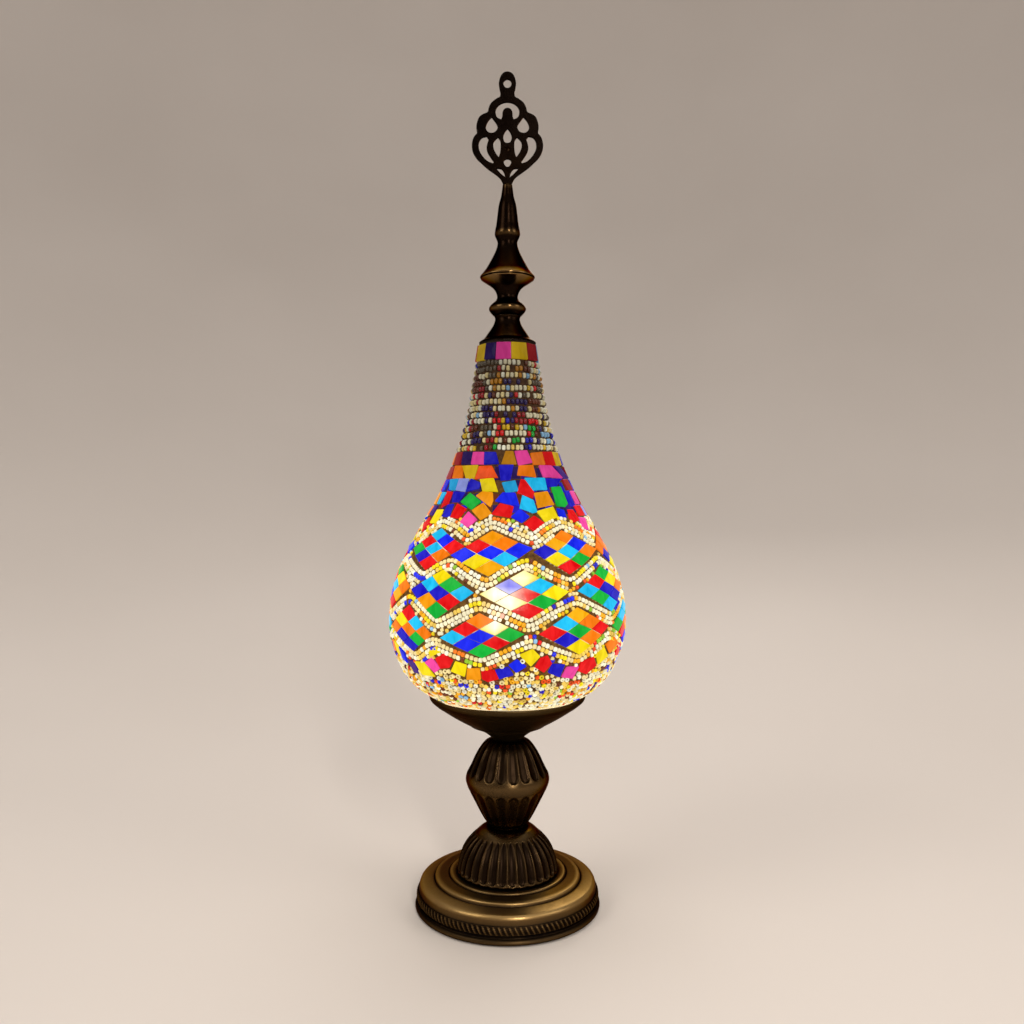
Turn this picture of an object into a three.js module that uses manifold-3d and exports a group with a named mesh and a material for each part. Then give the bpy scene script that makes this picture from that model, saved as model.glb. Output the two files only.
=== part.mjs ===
// Mosaic glass table lamp: antique-brass foot, fluted stem and gallery, a long-necked
// glass globe covered with mosaic, and a turned finial with a pierced ornament.
// Millimetres, +Z up, origin on the table under the centre of the foot.
// The pierced ornament lies in the XZ plane; -Y is the front.
import * as THREE from "three";
import { mergeVertices } from "three/addons/utils/BufferGeometryUtils.js";
import Module from "manifold-3d";

// ---------------------------------------------------------------- driving dimensions
const SEG = 20; // facets round the large turned pieces
const GAP = 0.3; // clearance between pieces that touch

const FOOT_R = 67.7; // foot, at the lip
const WEB_Z = 25.0; // top of the foot's centre, where the dome stands
const DOME_TOP = 57.6;
const VASE_TOP = 121.6;
const DISH_R = 57.2; // gallery rim
const DISH_TOP = 155.0;
const DISH_SEAT = 131.0; // flat inside the gallery, under the washer
const HOLE_R = 5.6; // clearance holes for the hollow rod
const TUBE_R = 5.0; // M10 hollow rod
const TUBE_BORE = 3.4;
const TUBE_Z = [8.0, 142.4];

const SKIN = 2.6; // mosaic tiles, beads and grout over the glass
const GLASS_T = 1.9;
const MOUTH_R = 49.6; // glass mouth, inner radius
const MOUTH_Z = 152.8;
const GLOBE = [
  // [z, outer radius over the mosaic]
  [154.6, 54.3], [163, 67.6], [175, 76.6], [190, 83.4], [210, 86.4],
  [228, 84.8], [245, 80.3], [262, 72.6], [279, 63.2], [295, 53.8],
  [312, 45.6], [333.2, 37.8], [360, 30.0], [385, 25.5], [409.6, 21.6],
];
const BANDS = {
  // mosaic bands, bottom to top: [z low, z high]
  foot_bead_band: [154.6, 178.7],
  lower_tile_row: [179.0, 193.7],
  lozenge_net_band: [194.0, 281.2],
  shoulder_tile_band: [281.5, 331.6],
  neck_bead_band: [331.9, 396.1],
  collar_tile_row: [396.4, 409.6],
};

const BULB_Z = 217.5; // centre of the round bulb
const BULB_R = 22.5;

const FLARE_R = 20.1; // skirt of the spire
const FLARE_Z = 458.7;
const PLATE_T = 2.6; // pierced ornament
const TOP_Z = 607.7;

const BUSH_Z = 9.9; // cord inlet at the back of the foot

// ---------------------------------------------------------------- helpers
const wasm = await Module();
wasm.setup();

// Index of a geometry with its vertices shared and its collapsed triangles dropped.
function clean(geometry) {
  geometry.deleteAttribute("normal");
  geometry.deleteAttribute("uv");
  const g = mergeVertices(geometry, 1e-4);
  const a = g.index.array;
  const kept = [];
  for (let i = 0; i < a.length; i += 3)
    if (a[i] !== a[i + 1] && a[i + 1] !== a[i + 2] && a[i] !== a[i + 2])
      kept.push(a[i], a[i + 1], a[i + 2]);
  g.setIndex(kept);
  g.computeVertexNormals();
  return g;
}

function signedVolume(g) {
  const p = g.attributes.position, a = g.index.array;
  const A = new THREE.Vector3(), B = new THREE.Vector3(), C = new THREE.Vector3();
  let v = 0;
  for (let i = 0; i < a.length; i += 3) {
    A.fromBufferAttribute(p, a[i]);
    B.fromBufferAttribute(p, a[i + 1]);
    C.fromBufferAttribute(p, a[i + 2]);
    v += A.dot(B.cross(C));
  }
  return v / 6;
}

function facingOut(g) {
  if (signedVolume(g) < 0) {
    const a = Array.from(g.index.array);
    for (let i = 0; i < a.length; i += 3) [a[i + 1], a[i + 2]] = [a[i + 2], a[i + 1]];
    g.setIndex(a);
    g.computeVertexNormals();
  }
  return g;
}

// A turned piece: profile of [radius, z] round +Z. A profile off the axis closes on itself.
function turned(profile, seg = SEG) {
  const pts = profile.map(([r, z]) => new THREE.Vector2(r, z));
  if (profile[0][0] !== 0) pts.push(pts[0].clone());
  const g = new THREE.LatheGeometry(pts, seg);
  g.rotateX(Math.PI / 2);
  return facingOut(clean(g));
}

function extruded(shape, depth, curveSegments = 6) {
  return facingOut(
    clean(new THREE.ExtrudeGeometry(shape, { depth, bevelEnabled: false, curveSegments })),
  );
}

// A round wire or lead along a list of points.
function wire(points, radius, steps, sides = 6) {
  const shape = new THREE.Shape();
  for (let i = 0; i < sides; i++) {
    const a = (i / sides) * 2 * Math.PI;
    if (i) shape.lineTo(radius * Math.cos(a), radius * Math.sin(a));
    else shape.moveTo(radius, 0);
  }
  const path = new THREE.CatmullRomCurve3(points.map((p) => new THREE.Vector3(...p)), false, "centripetal");
  return facingOut(clean(new THREE.ExtrudeGeometry(shape, { steps, extrudePath: path, bevelEnabled: false })));
}

function hexNut(acrossFlats, bore, height) {
  const s = new THREE.Shape();
  const R = acrossFlats / Math.sqrt(3);
  for (let i = 0; i < 6; i++) {
    const a = (i * Math.PI) / 3;
    if (i) s.lineTo(R * Math.cos(a), R * Math.sin(a));
    else s.moveTo(R, 0);
  }
  const h = new THREE.Path();
  h.absarc(0, 0, bore, 0, 2 * Math.PI, true);
  s.holes.push(h);
  return extruded(s, height, 8);
}

const washer = (ri, ro, z0, z1, seg = 16) => turned([[ri, z0], [ro, z0], [ro, z1], [ri, z1]], seg);

function solid(g) {
  const c = clean(g.clone());
  return new wasm.Manifold(
    new wasm.Mesh({
      numProp: 3,
      vertProperties: new Float32Array(c.attributes.position.array),
      triVerts: new Uint32Array(c.index.array),
    }),
  );
}

function fromSolid(s) {
  const m = s.getMesh();
  const n = m.numProp;
  const v = new Float32Array(m.numVert * 3);
  for (let i = 0; i < m.numVert; i++) v.set(m.vertProperties.subarray(i * n, i * n + 3), i * 3);
  const g = new THREE.BufferGeometry();
  g.setAttribute("position", new THREE.BufferAttribute(v, 3));
  g.setIndex(Array.from(m.triVerts));
  g.computeVertexNormals();
  return g;
}

const cut = (a, b) => fromSolid(solid(a).subtract(solid(b)));

// ---------------------------------------------------------------- materials
const metal = (color, roughness) => new THREE.MeshStandardMaterial({ color, roughness, metalness: 1 });
const plain = (color, roughness, extra = {}) =>
  new THREE.MeshStandardMaterial({ color, roughness, metalness: 0, ...extra });
const M = {
  brass: () => metal(0x6b5430, 0.38),
  darkBrass: () => metal(0x3a2a1c, 0.42),
  iron: () => metal(0x2e2c2a, 0.8),
  steel: () => metal(0x9a9a96, 0.35),
  contact: () => metal(0xc49a4a, 0.3),
  felt: () => plain(0x1f2a22, 1.0),
  rubber: () => plain(0x171515, 0.85),
  porcelain: () => plain(0xe9e4d8, 0.35),
  holder: () => plain(0x1b1a1a, 0.5),
  live: () => plain(0x5a3317, 0.6),
  neutral: () => plain(0x24468c, 0.6),
  glass: () => plain(0xfff1d2, 0.12, { transparent: true, opacity: 0.4 }),
  bulb: () => plain(0xffe6b8, 0.1, { transparent: true, opacity: 0.5, emissive: 0xffc773, emissiveIntensity: 1 }),
  filament: () => plain(0xffc773, 0.4, { emissive: 0xffb050, emissiveIntensity: 4 }),
  beads: () => plain(0xf0e3c0, 0.25),
  tilesWarm: () => plain(0xd8362a, 0.2),
  tilesCool: () => plain(0x2448c8, 0.2),
  tilesNet: () => plain(0xe0a02a, 0.2),
};

const root = new THREE.Group();
root.name = "mosaic_table_lamp";
const bodies = {};
for (const n of ["base", "bulb", "shade", "finial"]) {
  bodies[n] = new THREE.Group();
  root.add(bodies[n]);
}
function add(body, name, geometry, material, position, rotation) {
  const mesh = new THREE.Mesh(geometry, material);
  mesh.name = name;
  if (position) mesh.position.set(...position);
  if (rotation) mesh.rotation.set(...rotation);
  bodies[body].add(mesh);
  return mesh;
}

// ---------------------------------------------------------------- foot
add("base", "felt_pad", turned([[0, 0], [61.6, 0], [61.6, 1.6], [0, 1.6]]), M.felt());

const bushHole = new THREE.CylinderGeometry(3.2, 3.2, 14, 12).translate(0, 63, BUSH_Z);
add(
  "base",
  "base_shell",
  cut(
    turned([
      // outside: lip, recess, rope band, wall, shoulder, first step, second step, web
      [62.4, 0.8], [66.9, 0.8], [FOOT_R, 2.0], [67.2, 4.0], [65.3, 5.0], [65.2, 6.7],
      [66.3, 7.2], [66.8, 9.8], [66.0, 12.4], [64.9, 13.2], [64.5, 17.2], [62.2, 19.6],
      [55.0, 21.3], [53.6, 21.2], [52.6, 23.2], [44.0, 24.3], [42.9, 24.1], [41.6, 25.2],
      [39.0, WEB_Z], [HOLE_R, WEB_Z],
      // inside
      [HOLE_R, 23.4], [42.0, 22.6], [51.8, 21.6], [53.2, 19.7], [61.2, 18.0], [63.2, 15.5],
      [63.4, 4.0], [62.4, 2.2],
    ], 24),
    bushHole,
  ),
  M.brass(),
);

const leadNotch = new THREE.BoxGeometry(12, 30, 13.4).translate(0, 50, 7.6);
add(
  "base",
  "ballast_weight",
  cut(
    turned([
      [5.9, 14.5], [38, 14.5], [40, 1.9], [60.4, 1.9], [61.6, 4.5], [61.4, 15.0],
      [59.8, 17.2], [51.6, 19.2], [50.4, 21.2], [41, 22.2], [5.9, 22.8],
    ]),
    leadNotch,
  ),
  M.iron(),
);

// cord inlet: a rubber bush through the back of the foot, flanged on both sides
add(
  "base",
  "cord_bush",
  turned([[2.1, 0], [4.4, 0], [4.4, 1.4], [2.9, 1.7], [2.9, 6.9], [5.2, 7.1], [5.0, 8.4], [3.6, 9.2], [2.1, 9.2]], 16),
  M.rubber(),
  [0, 60.4, BUSH_Z],
  [-Math.PI / 2, 0, 0],
);

add("base", "bottom_washer", washer(5.4, 13, 13.0, 14.2), M.steel());
add("base", "bottom_nut", hexNut(14, 5.3, 3.4), M.steel(), [0, 0, 9.3]);
add("base", "threaded_tube", washer(TUBE_BORE, TUBE_R, TUBE_Z[0], TUBE_Z[1]), M.steel());

// ---------------------------------------------------------------- stem
add(
  "base",
  "fluted_dome",
  turned([
    [34.6, 25.3], [37.0, 25.3], [37.0, 28.0], [35.9, 33.0], [33.6, 40.0], [29.8, 46.2],
    [24.4, 51.6], [20.4, 55.4], [16.6, DOME_TOP], [HOLE_R, DOME_TOP],
    [HOLE_R, 55.4], [16.0, 55.0], [22.2, 50.6], [27.8, 45.0], [31.4, 39.2], [33.6, 32.4],
  ]),
  M.darkBrass(),
);

add(
  "base",
  "stem_vase",
  turned([
    [12.6, DOME_TOP + GAP], [12.8, 59.4], [16.0, 61.6], [19.8, 67.8], [24.0, 76.0], [28.0, 84.0],
    [30.2, 89.4], [30.7, 92.4], [30.0, 95.8], [26.2, 103.6], [23.9, 109.1], [21.2, 114.0],
    [18.2, 118.2], [15.2, 120.8], [11.6, VASE_TOP], [HOLE_R, VASE_TOP],
    [HOLE_R, 119.2], [13.6, 118.4], [19.0, 112.8], [24.2, 102.4], [28.2, 93.6], [28.0, 90.6],
    [21.8, 77.0], [13.6, 62.4], [10.2, 60.6], [HOLE_R, 60.4], [HOLE_R, DOME_TOP + GAP],
  ]),
  M.darkBrass(),
);

add(
  "base",
  "gallery_dish",
  turned([
    [HOLE_R, VASE_TOP + GAP], [10.6, VASE_TOP + GAP], [11.4, 123.2], [14.6, 125.4], [18.7, 128.7],
    [25.2, 133.2], [30.6, 136.0], [38.2, 139.6], [46.5, 144.6], [54.0, 149.6], [56.6, 152.0],
    [DISH_R, DISH_TOP],
    [55.8, DISH_TOP], [55.2, 152.9], [52.9, 150.6], [45.5, 146.2], [37.2, 141.2], [24.0, 134.4],
    [19.4, DISH_SEAT], [HOLE_R, DISH_SEAT],
  ]),
  M.darkBrass(),
);

add("base", "gallery_gasket", turned([[47.5, 148.4], [52.2, 150.9], [52.2, 152.4], [47.5, 152.4]]), M.rubber());
add("base", "gallery_washer", washer(5.4, 9.5, DISH_SEAT + GAP, 132.5), M.steel());
add("base", "gallery_nut", hexNut(14, 5.3, 4.0), M.steel(), [0, 0, 132.8]);

// ---------------------------------------------------------------- lamp holder
add(
  "base",
  "holder_body",
  turned([
    [5.3, 138.0], [9.0, 138.0], [10.0, 141.6], [14.2, 146.0], [14.2, 176.0], [15.4, 177.0],
    [15.4, 184.2], [12.5, 184.2], [12.5, 147.2], [8.8, 143.2], [5.3, 143.2],
  ], 16),
  M.holder(),
);
add(
  "base",
  "holder_insert",
  turned([[2.3, 150.3], [12.1, 150.3], [12.1, 183.4], [8.0, 183.4], [8.0, 154.0], [2.3, 154.0]], 16),
  M.porcelain(),
);
add("base", "screw_shell", turned([[7.15, 156.2], [7.65, 156.2], [7.65, 182.2], [7.15, 182.2]], 16), M.contact());
add(
  "base",
  "centre_contact",
  turned([[0, 150.8], [1.9, 150.8], [1.9, 154.3], [3.4, 154.4], [3.2, 155.3], [0, 155.6]], 12),
  M.contact(),
);
for (const [name, side] of [["terminal_screw_live", 1], ["terminal_screw_neutral", -1]])
  add(
    "base",
    name,
    turned([[0, 145.4], [2.3, 145.4], [2.3, 146.9], [1.3, 147.0], [1.3, 150.0], [0, 150.0]], 10),
    M.contact(),
    [8.4 * side, 0, 0],
  );

// two leads from the inlet, up the hollow rod, to the terminals
for (const [name, side, mat] of [["lead_live", 1, M.live()], ["lead_neutral", -1, M.neutral()]])
  add(
    "base",
    name,
    wire([
      [0.95 * side, 61.2, BUSH_Z], [0.95 * side, 50, BUSH_Z - 0.6], [0.95 * side, 30, 7.2], [1.2 * side, 12, 4.6],
      [1.5 * side, 4.5, 4.2], [1.5 * side, 0.9, 5.8], [1.5 * side, 0, 10], [1.5 * side, 0, 40], [1.5 * side, 0, 75],
      [1.5 * side, 0, 110], [1.5 * side, 0, 139], [1.8 * side, 0, 144], [3.4 * side, 0, 147.4], [6.5 * side, 0, 148.6],
    ], 0.85, 44, 5),
    mat,
  );

// ---------------------------------------------------------------- bulb
{
  const outer = [], inner = [];
  const a0 = THREE.MathUtils.degToRad(-62);
  for (let i = 0; i <= 7; i++) {
    const a = Math.PI / 2 + ((a0 - Math.PI / 2) * i) / 7;
    const r = i === 0 ? 0 : Math.cos(a);
    outer.push([BULB_R * r, BULB_Z + BULB_R * Math.sin(a)]);
    inner.push([(BULB_R - 0.8) * r, BULB_Z + (BULB_R - 0.8) * Math.sin(a)]);
  }
  outer.push([8.2, 193.4], [6.0, 188.4], [6.0, 176.4]);
  inner.push([7.3, 193.6], [5.2, 188.6], [5.2, 176.4]);
  add("bulb", "bulb_glass", turned([...outer, ...inner.reverse()], 14), M.bulb());
}
add(
  "bulb",
  "bulb_cap",
  turned([[5.6, 161.4], [6.8, 162.2], [6.8, 185.6], [7.6, 186.6], [7.0, 187.4], [6.35, 186.4], [6.35, 163.0], [5.6, 162.6]], 16),
  M.contact(),
);
add("bulb", "bulb_insulator", turned([[0, 158.2], [2.8, 158.2], [5.2, 161.0], [5.2, 164.0], [0, 164.0]], 16), M.rubber());
add("bulb", "bulb_tip_contact", turned([[0, 156.0], [1.6, 156.2], [2.3, 157.9], [0, 157.9]], 12), M.steel());
add(
  "bulb",
  "filament_stem",
  turned([[0, 176.8], [4.6, 176.8], [3.4, 180.0], [2.4, 190.0], [1.2, 196.0], [1.2, 213.0], [0, 213.6]], 12),
  M.glass(),
);
add(
  "bulb",
  "filament",
  wire([
    [-2.9, 0, 191], [-4.5, 0, 200], [-11, -1, 215], [-9, -4.5, 219], [-4, -3, 217], [0, -5, 219.4], [4, -3, 217],
    [9, -4.5, 219], [11, -1, 215], [4.5, 0, 200], [2.9, 0, 191],
  ], 0.45, 34, 5),
  M.filament(),
);

// ---------------------------------------------------------------- globe and its mosaic
function globeR(z) {
  for (let i = 1; i < GLOBE.length; i++)
    if (z <= GLOBE[i][0]) {
      const [z0, r0] = GLOBE[i - 1], [z1, r1] = GLOBE[i];
      return r0 + ((r1 - r0) * (z - z0)) / (z1 - z0);
    }
  return GLOBE[GLOBE.length - 1][1];
}
const stations = (z0, z1) => [z0, ...GLOBE.map((s) => s[0]).filter((z) => z > z0 + 0.5 && z < z1 - 0.5), z1];

{
  const zs = GLOBE.map((s) => s[0]);
  const out = zs.map((z) => [globeR(z) - SKIN - GAP, z]);
  const inn = zs.slice(1).map((z) => [globeR(z) - SKIN - GAP - GLASS_T - (z < 180 ? 0.6 : 0), z]).reverse();
  add(
    "shade",
    "glass_globe",
    turned([[MOUTH_R, MOUTH_Z], [50.6, MOUTH_Z], ...out, ...inn, [MOUTH_R, 156.0]]),
    M.glass(),
  );
}
const bandMaterial = {
  foot_bead_band: M.beads(), lower_tile_row: M.tilesCool(), lozenge_net_band: M.tilesNet(),
  shoulder_tile_band: M.tilesWarm(), neck_bead_band: M.beads(), collar_tile_row: M.tilesCool(),
};
for (const [name, [z0, z1]] of Object.entries(BANDS)) {
  const zs = stations(z0, z1);
  add(
    "shade",
    name,
    turned([...zs.map((z) => [globeR(z), z]), ...zs.map((z) => [globeR(z) - SKIN, z]).reverse()]),
    bandMaterial[name],
  );
}

// bar across the neck, the tie rod through it and its nut hold the finial down on the glass
{
  const s = new THREE.Shape();
  s.moveTo(-17.6, -5); s.lineTo(17.6, -5); s.lineTo(17.6, 5); s.lineTo(-17.6, 5);
  const h = new THREE.Path();
  h.absarc(0, 0, 3.4, 0, 2 * Math.PI, true);
  s.holes.push(h);
  add("shade", "neck_crossbar", extruded(s, 2.0, 8), M.steel(), [0, 0, 394.0]);
}
add("shade", "crossbar_nut", hexNut(10, 3.3, 4.0), M.steel(), [0, 0, 389.7]);
add("shade", "tie_rod", turned([[0, 386.5], [3.0, 386.5], [3.0, 474.0], [0, 474.0]], 12), M.steel());
add("shade", "neck_gasket", washer(16.6, 20.6, 409.9, 410.7, 20), M.rubber());

// ---------------------------------------------------------------- finial
add(
  "finial",
  "cap_bell",
  turned([
    [20.2, 411.0], [21.3, 411.0], [20.2, 412.2], [17.6, 413.6], [14.9, 417.3], [12.4, 420.9],
    [10.2, 424.5], [9.1, 428.3], [9.6, 430.6], [3.5, 430.6],
    [3.5, 429.4], [7.9, 428.8], [9.1, 423.8], [11.2, 420.3], [13.6, 416.7], [16.4, 412.8],
    [18.4, 411.9],
  ], 16),
  M.darkBrass(),
);
add(
  "finial",
  "finial_collar",
  turned([
    [3.5, 430.9], [10.2, 430.9], [12.9, 434.2], [13.5, 435.4], [13.4, 437.0], [11.7, 439.2],
    [8.6, 441.9], [7.6, 444.2], [7.9, 446.8], [9.5, 450.0], [11.7, 452.3], [16.0, 455.2],
    [19.4, 457.6], [18.6, 458.4], [14.6, 456.4], [3.5, 456.4],
  ], 16),
  M.darkBrass(),
);
add(
  "finial",
  "spire",
  turned([
    [3.5, 456.7], [14.5, 456.7], [18.7, 458.8], [FLARE_R, FLARE_Z], [18.8, 460.8], [16.0, 464.5],
    [11.7, 471.8], [8.2, 479.0], [7.2, 484.1], [7.9, 486.3], [9.3, 489.9], [8.2, 497.1],
    [7.3, 504.4], [6.3, 511.6], [4.5, 518.0], [4.0, 522.5], [3.5, 526.1], [2.05, 526.1],
    [2.05, 517.0], [0, 517.0], [0, 475.0], [3.5, 474.6],
  ], 16),
  M.darkBrass(),
);
{
  // half outline and openings of the pierced plate: [x, depth below the top]
  const outline = [
    [0, 0], [3.3, 1.2], [5.4, 4.4], [6.3, 8.7], [5.8, 12.4], [5.2, 15.2], [5.5, 18.1], [8.0, 19.5],
    [10.9, 21.7], [12.7, 23.9], [13.8, 26.7], [14.5, 29.2], [17.8, 30.7], [20.3, 32.5], [21.5, 34.7],
    [22.5, 38.3], [22.6, 41.2], [22.2, 44.4], [23.1, 45.5], [24.7, 47.7], [25.6, 50.6], [25.9, 54.2],
    [25.0, 58.5], [22.2, 62.9], [19.2, 65.8], [15.3, 69.4], [10.9, 72.6], [7.3, 75.2], [5.1, 77.4],
    [3.6, 80.3], [3.3, 81.2], [1.3, 81.2], [1.3, 89.4],
  ];
  const holesBoth = [
    [[11.5, 32.8], [13.9, 35.5], [15.5, 39.1], [15.4, 41.7], [13.8, 43.7], [11.2, 44.2], [8.6, 43.1], [7.2, 40.4], [8.1, 37.5], [9.9, 35.0]],
    [[16.3, 47.3], [19.3, 48.8], [20.3, 53.5], [19.9, 57.2], [17.8, 61.1], [14.5, 64.4], [10.9, 65.8], [10.3, 65.0], [13.1, 62.2], [16.0, 58.6], [17.0, 55.7], [16.4, 52.4], [14.9, 49.2]],
    [[6.9, 47.4], [9.9, 50.6], [10.2, 54.6], [8.7, 58.6], [6.4, 61.7], [5.4, 58.6], [5.0, 54.2], [5.3, 49.9]],
    [[1.8, 76.0], [2.5, 73.0], [4.5, 70.3], [8.4, 69.7], [6.3, 72.0], [4.1, 74.3]],
  ];
  const holesMid = [
    // loop, horseshoe, almond, small eye
    Array.from({ length: 16 }, (_, i) => [2.9 * Math.cos((i * Math.PI) / 8), 8.7 + 3.25 * Math.sin((i * Math.PI) / 8)]),
    [[-4.6, 34.5], [-7.6, 32.9], [-8.6, 28.9], [-7.3, 25.3], [-4.0, 22.8], [0, 22.0], [4.0, 22.8], [7.3, 25.3], [8.6, 28.9], [7.6, 32.9], [4.6, 34.5],
      [3.8, 32.5], [3.6, 29.3], [2.3, 27.0], [0, 26.2], [-2.3, 27.0], [-3.6, 29.3], [-3.8, 32.5]],
    [[0, 41.2], [1.9, 43.7], [3.0, 47.0], [2.6, 49.8], [1.3, 51.3], [-1.3, 51.3], [-2.6, 49.8], [-3.0, 47.0], [-1.9, 43.7]],
    [[-2.6, 64.1], [2.6, 64.1], [2.0, 66.1], [0.4, 68.0], [-0.4, 68.0], [-2.0, 66.1]],
  ];
  const full = [...outline, ...outline.slice(1).reverse().map(([x, d]) => [-x, d])];
  const v = (p) => p.map(([x, d]) => new THREE.Vector2(x, TOP_Z - d));
  const shape = new THREE.Shape(v(full).reverse());
  for (const h of holesMid) shape.holes.push(new THREE.Path(v(h)));
  for (const h of holesBoth) {
    shape.holes.push(new THREE.Path(v(h)));
    shape.holes.push(new THREE.Path(v(h.map(([x, d]) => [-x, d]))));
  }
  const g = extruded(shape, PLATE_T, 1);
  g.rotateX(Math.PI / 2);
  g.translate(0, PLATE_T / 2, 0);
  add("finial", "filigree_ornament", g, M.darkBrass());
}

export default root;
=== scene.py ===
import math

import bpy
import numpy as np
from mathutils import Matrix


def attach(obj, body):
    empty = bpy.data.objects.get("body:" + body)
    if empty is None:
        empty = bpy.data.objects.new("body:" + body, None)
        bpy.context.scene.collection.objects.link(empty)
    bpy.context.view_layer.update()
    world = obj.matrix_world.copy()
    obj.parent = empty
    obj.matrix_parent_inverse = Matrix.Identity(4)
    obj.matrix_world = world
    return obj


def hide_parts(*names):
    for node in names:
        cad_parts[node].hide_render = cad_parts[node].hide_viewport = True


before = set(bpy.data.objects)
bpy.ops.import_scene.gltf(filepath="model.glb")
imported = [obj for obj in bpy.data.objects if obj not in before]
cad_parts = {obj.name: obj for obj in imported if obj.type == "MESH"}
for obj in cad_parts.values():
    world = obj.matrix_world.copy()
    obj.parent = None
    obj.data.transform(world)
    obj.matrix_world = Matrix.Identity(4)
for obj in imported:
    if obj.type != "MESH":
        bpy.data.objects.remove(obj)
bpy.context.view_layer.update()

MM = 0.001
rng = np.random.default_rng(20853)
scene = bpy.context.scene

# ------------------------------------------------------------------ camera
cam = bpy.data.cameras.new("camera")
cam.lens = 31.64
cam.sensor_width = 36.0
cam_ob = bpy.data.objects.new("camera", cam)
cam_ob.location = (0.00328, -0.659, 0.29947)
cam_ob.rotation_euler = (math.radians(90 - 0.99), 0, 0)
scene.collection.objects.link(cam_ob)
scene.camera = cam_ob
scene.view_settings.view_transform = "Standard"
scene.view_settings.look = "None"


# ------------------------------------------------------------------ mesh helpers
def make_object(name, verts, quads=None, tris=None, attrs=None, mat=None, smooth=True, location=True):
    """A mesh object from arrays in millimetres; attrs are per-vertex floats (n,) or colours (n,3)."""
    me = bpy.data.meshes.new(name)
    quads = np.zeros((0, 4), np.int32) if quads is None else np.asarray(quads, np.int32)
    tris = np.zeros((0, 3), np.int32) if tris is None else np.asarray(tris, np.int32)
    me.vertices.add(len(verts))
    me.vertices.foreach_set("co", (np.asarray(verts) * MM).astype(np.float32).ravel())
    loops = np.concatenate([quads.ravel(), tris.ravel()]).astype(np.int32)
    me.loops.add(len(loops))
    me.loops.foreach_set("vertex_index", loops)
    me.polygons.add(len(quads) + len(tris))
    starts = np.concatenate([np.arange(len(quads)) * 4, len(quads) * 4 + np.arange(len(tris)) * 3])
    me.polygons.foreach_set("loop_start", starts.astype(np.int32))
    me.polygons.foreach_set("use_smooth", np.full(len(starts), smooth))
    me.update(calc_edges=True)
    me.validate()
    for key, val in (attrs or {}).items():
        val = np.asarray(val, np.float32)
        if val.ndim == 2:
            a = me.attributes.new(key, "FLOAT_COLOR", "POINT")
            a.data.foreach_set("color", np.concatenate([val, np.ones((len(val), 1), np.float32)], 1).ravel())
        else:
            a = me.attributes.new(key, "FLOAT", "POINT")
            a.data.foreach_set("value", val)
    ob = bpy.data.objects.new(name, me)
    scene.collection.objects.link(ob)
    if mat:
        me.materials.append(mat)
    return ob


def place(ob, body, slot, *nodes):
    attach(ob, body)
    if nodes:
        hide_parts(*nodes)
    return ob


class Batch:
    """Many small pieces gathered in one mesh."""

    def __init__(self):
        self.v, self.q, self.t, self.a, self.n = [], [], [], {}, 0

    def add(self, v, quads=None, tris=None, **attrs):
        self.v.append(v)
        if quads is not None and len(quads):
            self.q.append(np.asarray(quads) + self.n)
        if tris is not None and len(tris):
            self.t.append(np.asarray(tris) + self.n)
        for k, x in attrs.items():
            self.a.setdefault(k, []).append(x)
        self.n += len(v)

    def build(self, name, mat, smooth=True):
        return make_object(
            name,
            np.concatenate(self.v),
            np.concatenate(self.q) if self.q else None,
            np.concatenate(self.t) if self.t else None,
            {k: np.concatenate(x) for k, x in self.a.items()},
            mat,
            smooth,
        )


def spline(points, per=6):
    """Centripetal Catmull-Rom through the points, every column interpolated alike."""
    p = np.asarray(points, float)
    p = np.vstack([2 * p[0] - p[1], p, 2 * p[-1] - p[-2]])
    out = []
    for i in range(1, len(p) - 2):
        p0, p1, p2, p3 = p[i - 1], p[i], p[i + 1], p[i + 2]
        d = [max(np.linalg.norm((b - a)[:2]), 1e-6) ** 0.5 for a, b in ((p0, p1), (p1, p2), (p2, p3))]
        t0, t1 = 0.0, d[0]
        t2 = t1 + d[1]
        t3 = t2 + d[2]
        for t in np.linspace(t1, t2, per, endpoint=False):
            a1 = (t1 - t) / (t1 - t0) * p0 + (t - t0) / (t1 - t0) * p1
            a2 = (t2 - t) / (t2 - t1) * p1 + (t - t1) / (t2 - t1) * p2
            a3 = (t3 - t) / (t3 - t2) * p2 + (t - t2) / (t3 - t2) * p3
            b1 = (t2 - t) / (t2 - t0) * a1 + (t - t0) / (t2 - t0) * a2
            b2 = (t3 - t) / (t3 - t1) * a2 + (t - t1) / (t3 - t1) * a3
            out.append((t2 - t) / (t2 - t1) * b1 + (t - t1) / (t2 - t1) * b2)
    out.append(p[-2])
    return np.array(out)


def fillet(points, cut=0.45, steps=3):
    """The closed profile with each corner cut back by up to cut millimetres and rounded."""
    p = np.asarray(points, float)
    out = []
    n = len(p)
    for i in range(n):
        a, b, c = p[i - 1], p[i], p[(i + 1) % n]
        la, lc = np.linalg.norm((a - b)[:2]), np.linalg.norm((c - b)[:2])
        ka, kc = min(cut, 0.35 * la) / max(la, 1e-9), min(cut, 0.35 * lc) / max(lc, 1e-9)
        s, e = b + (a - b) * ka, b + (c - b) * kc
        for t in np.linspace(0, 1, steps):
            out.append((1 - t) ** 2 * s + 2 * t * (1 - t) * b + t * t * e)
    return np.array(out)


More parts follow.
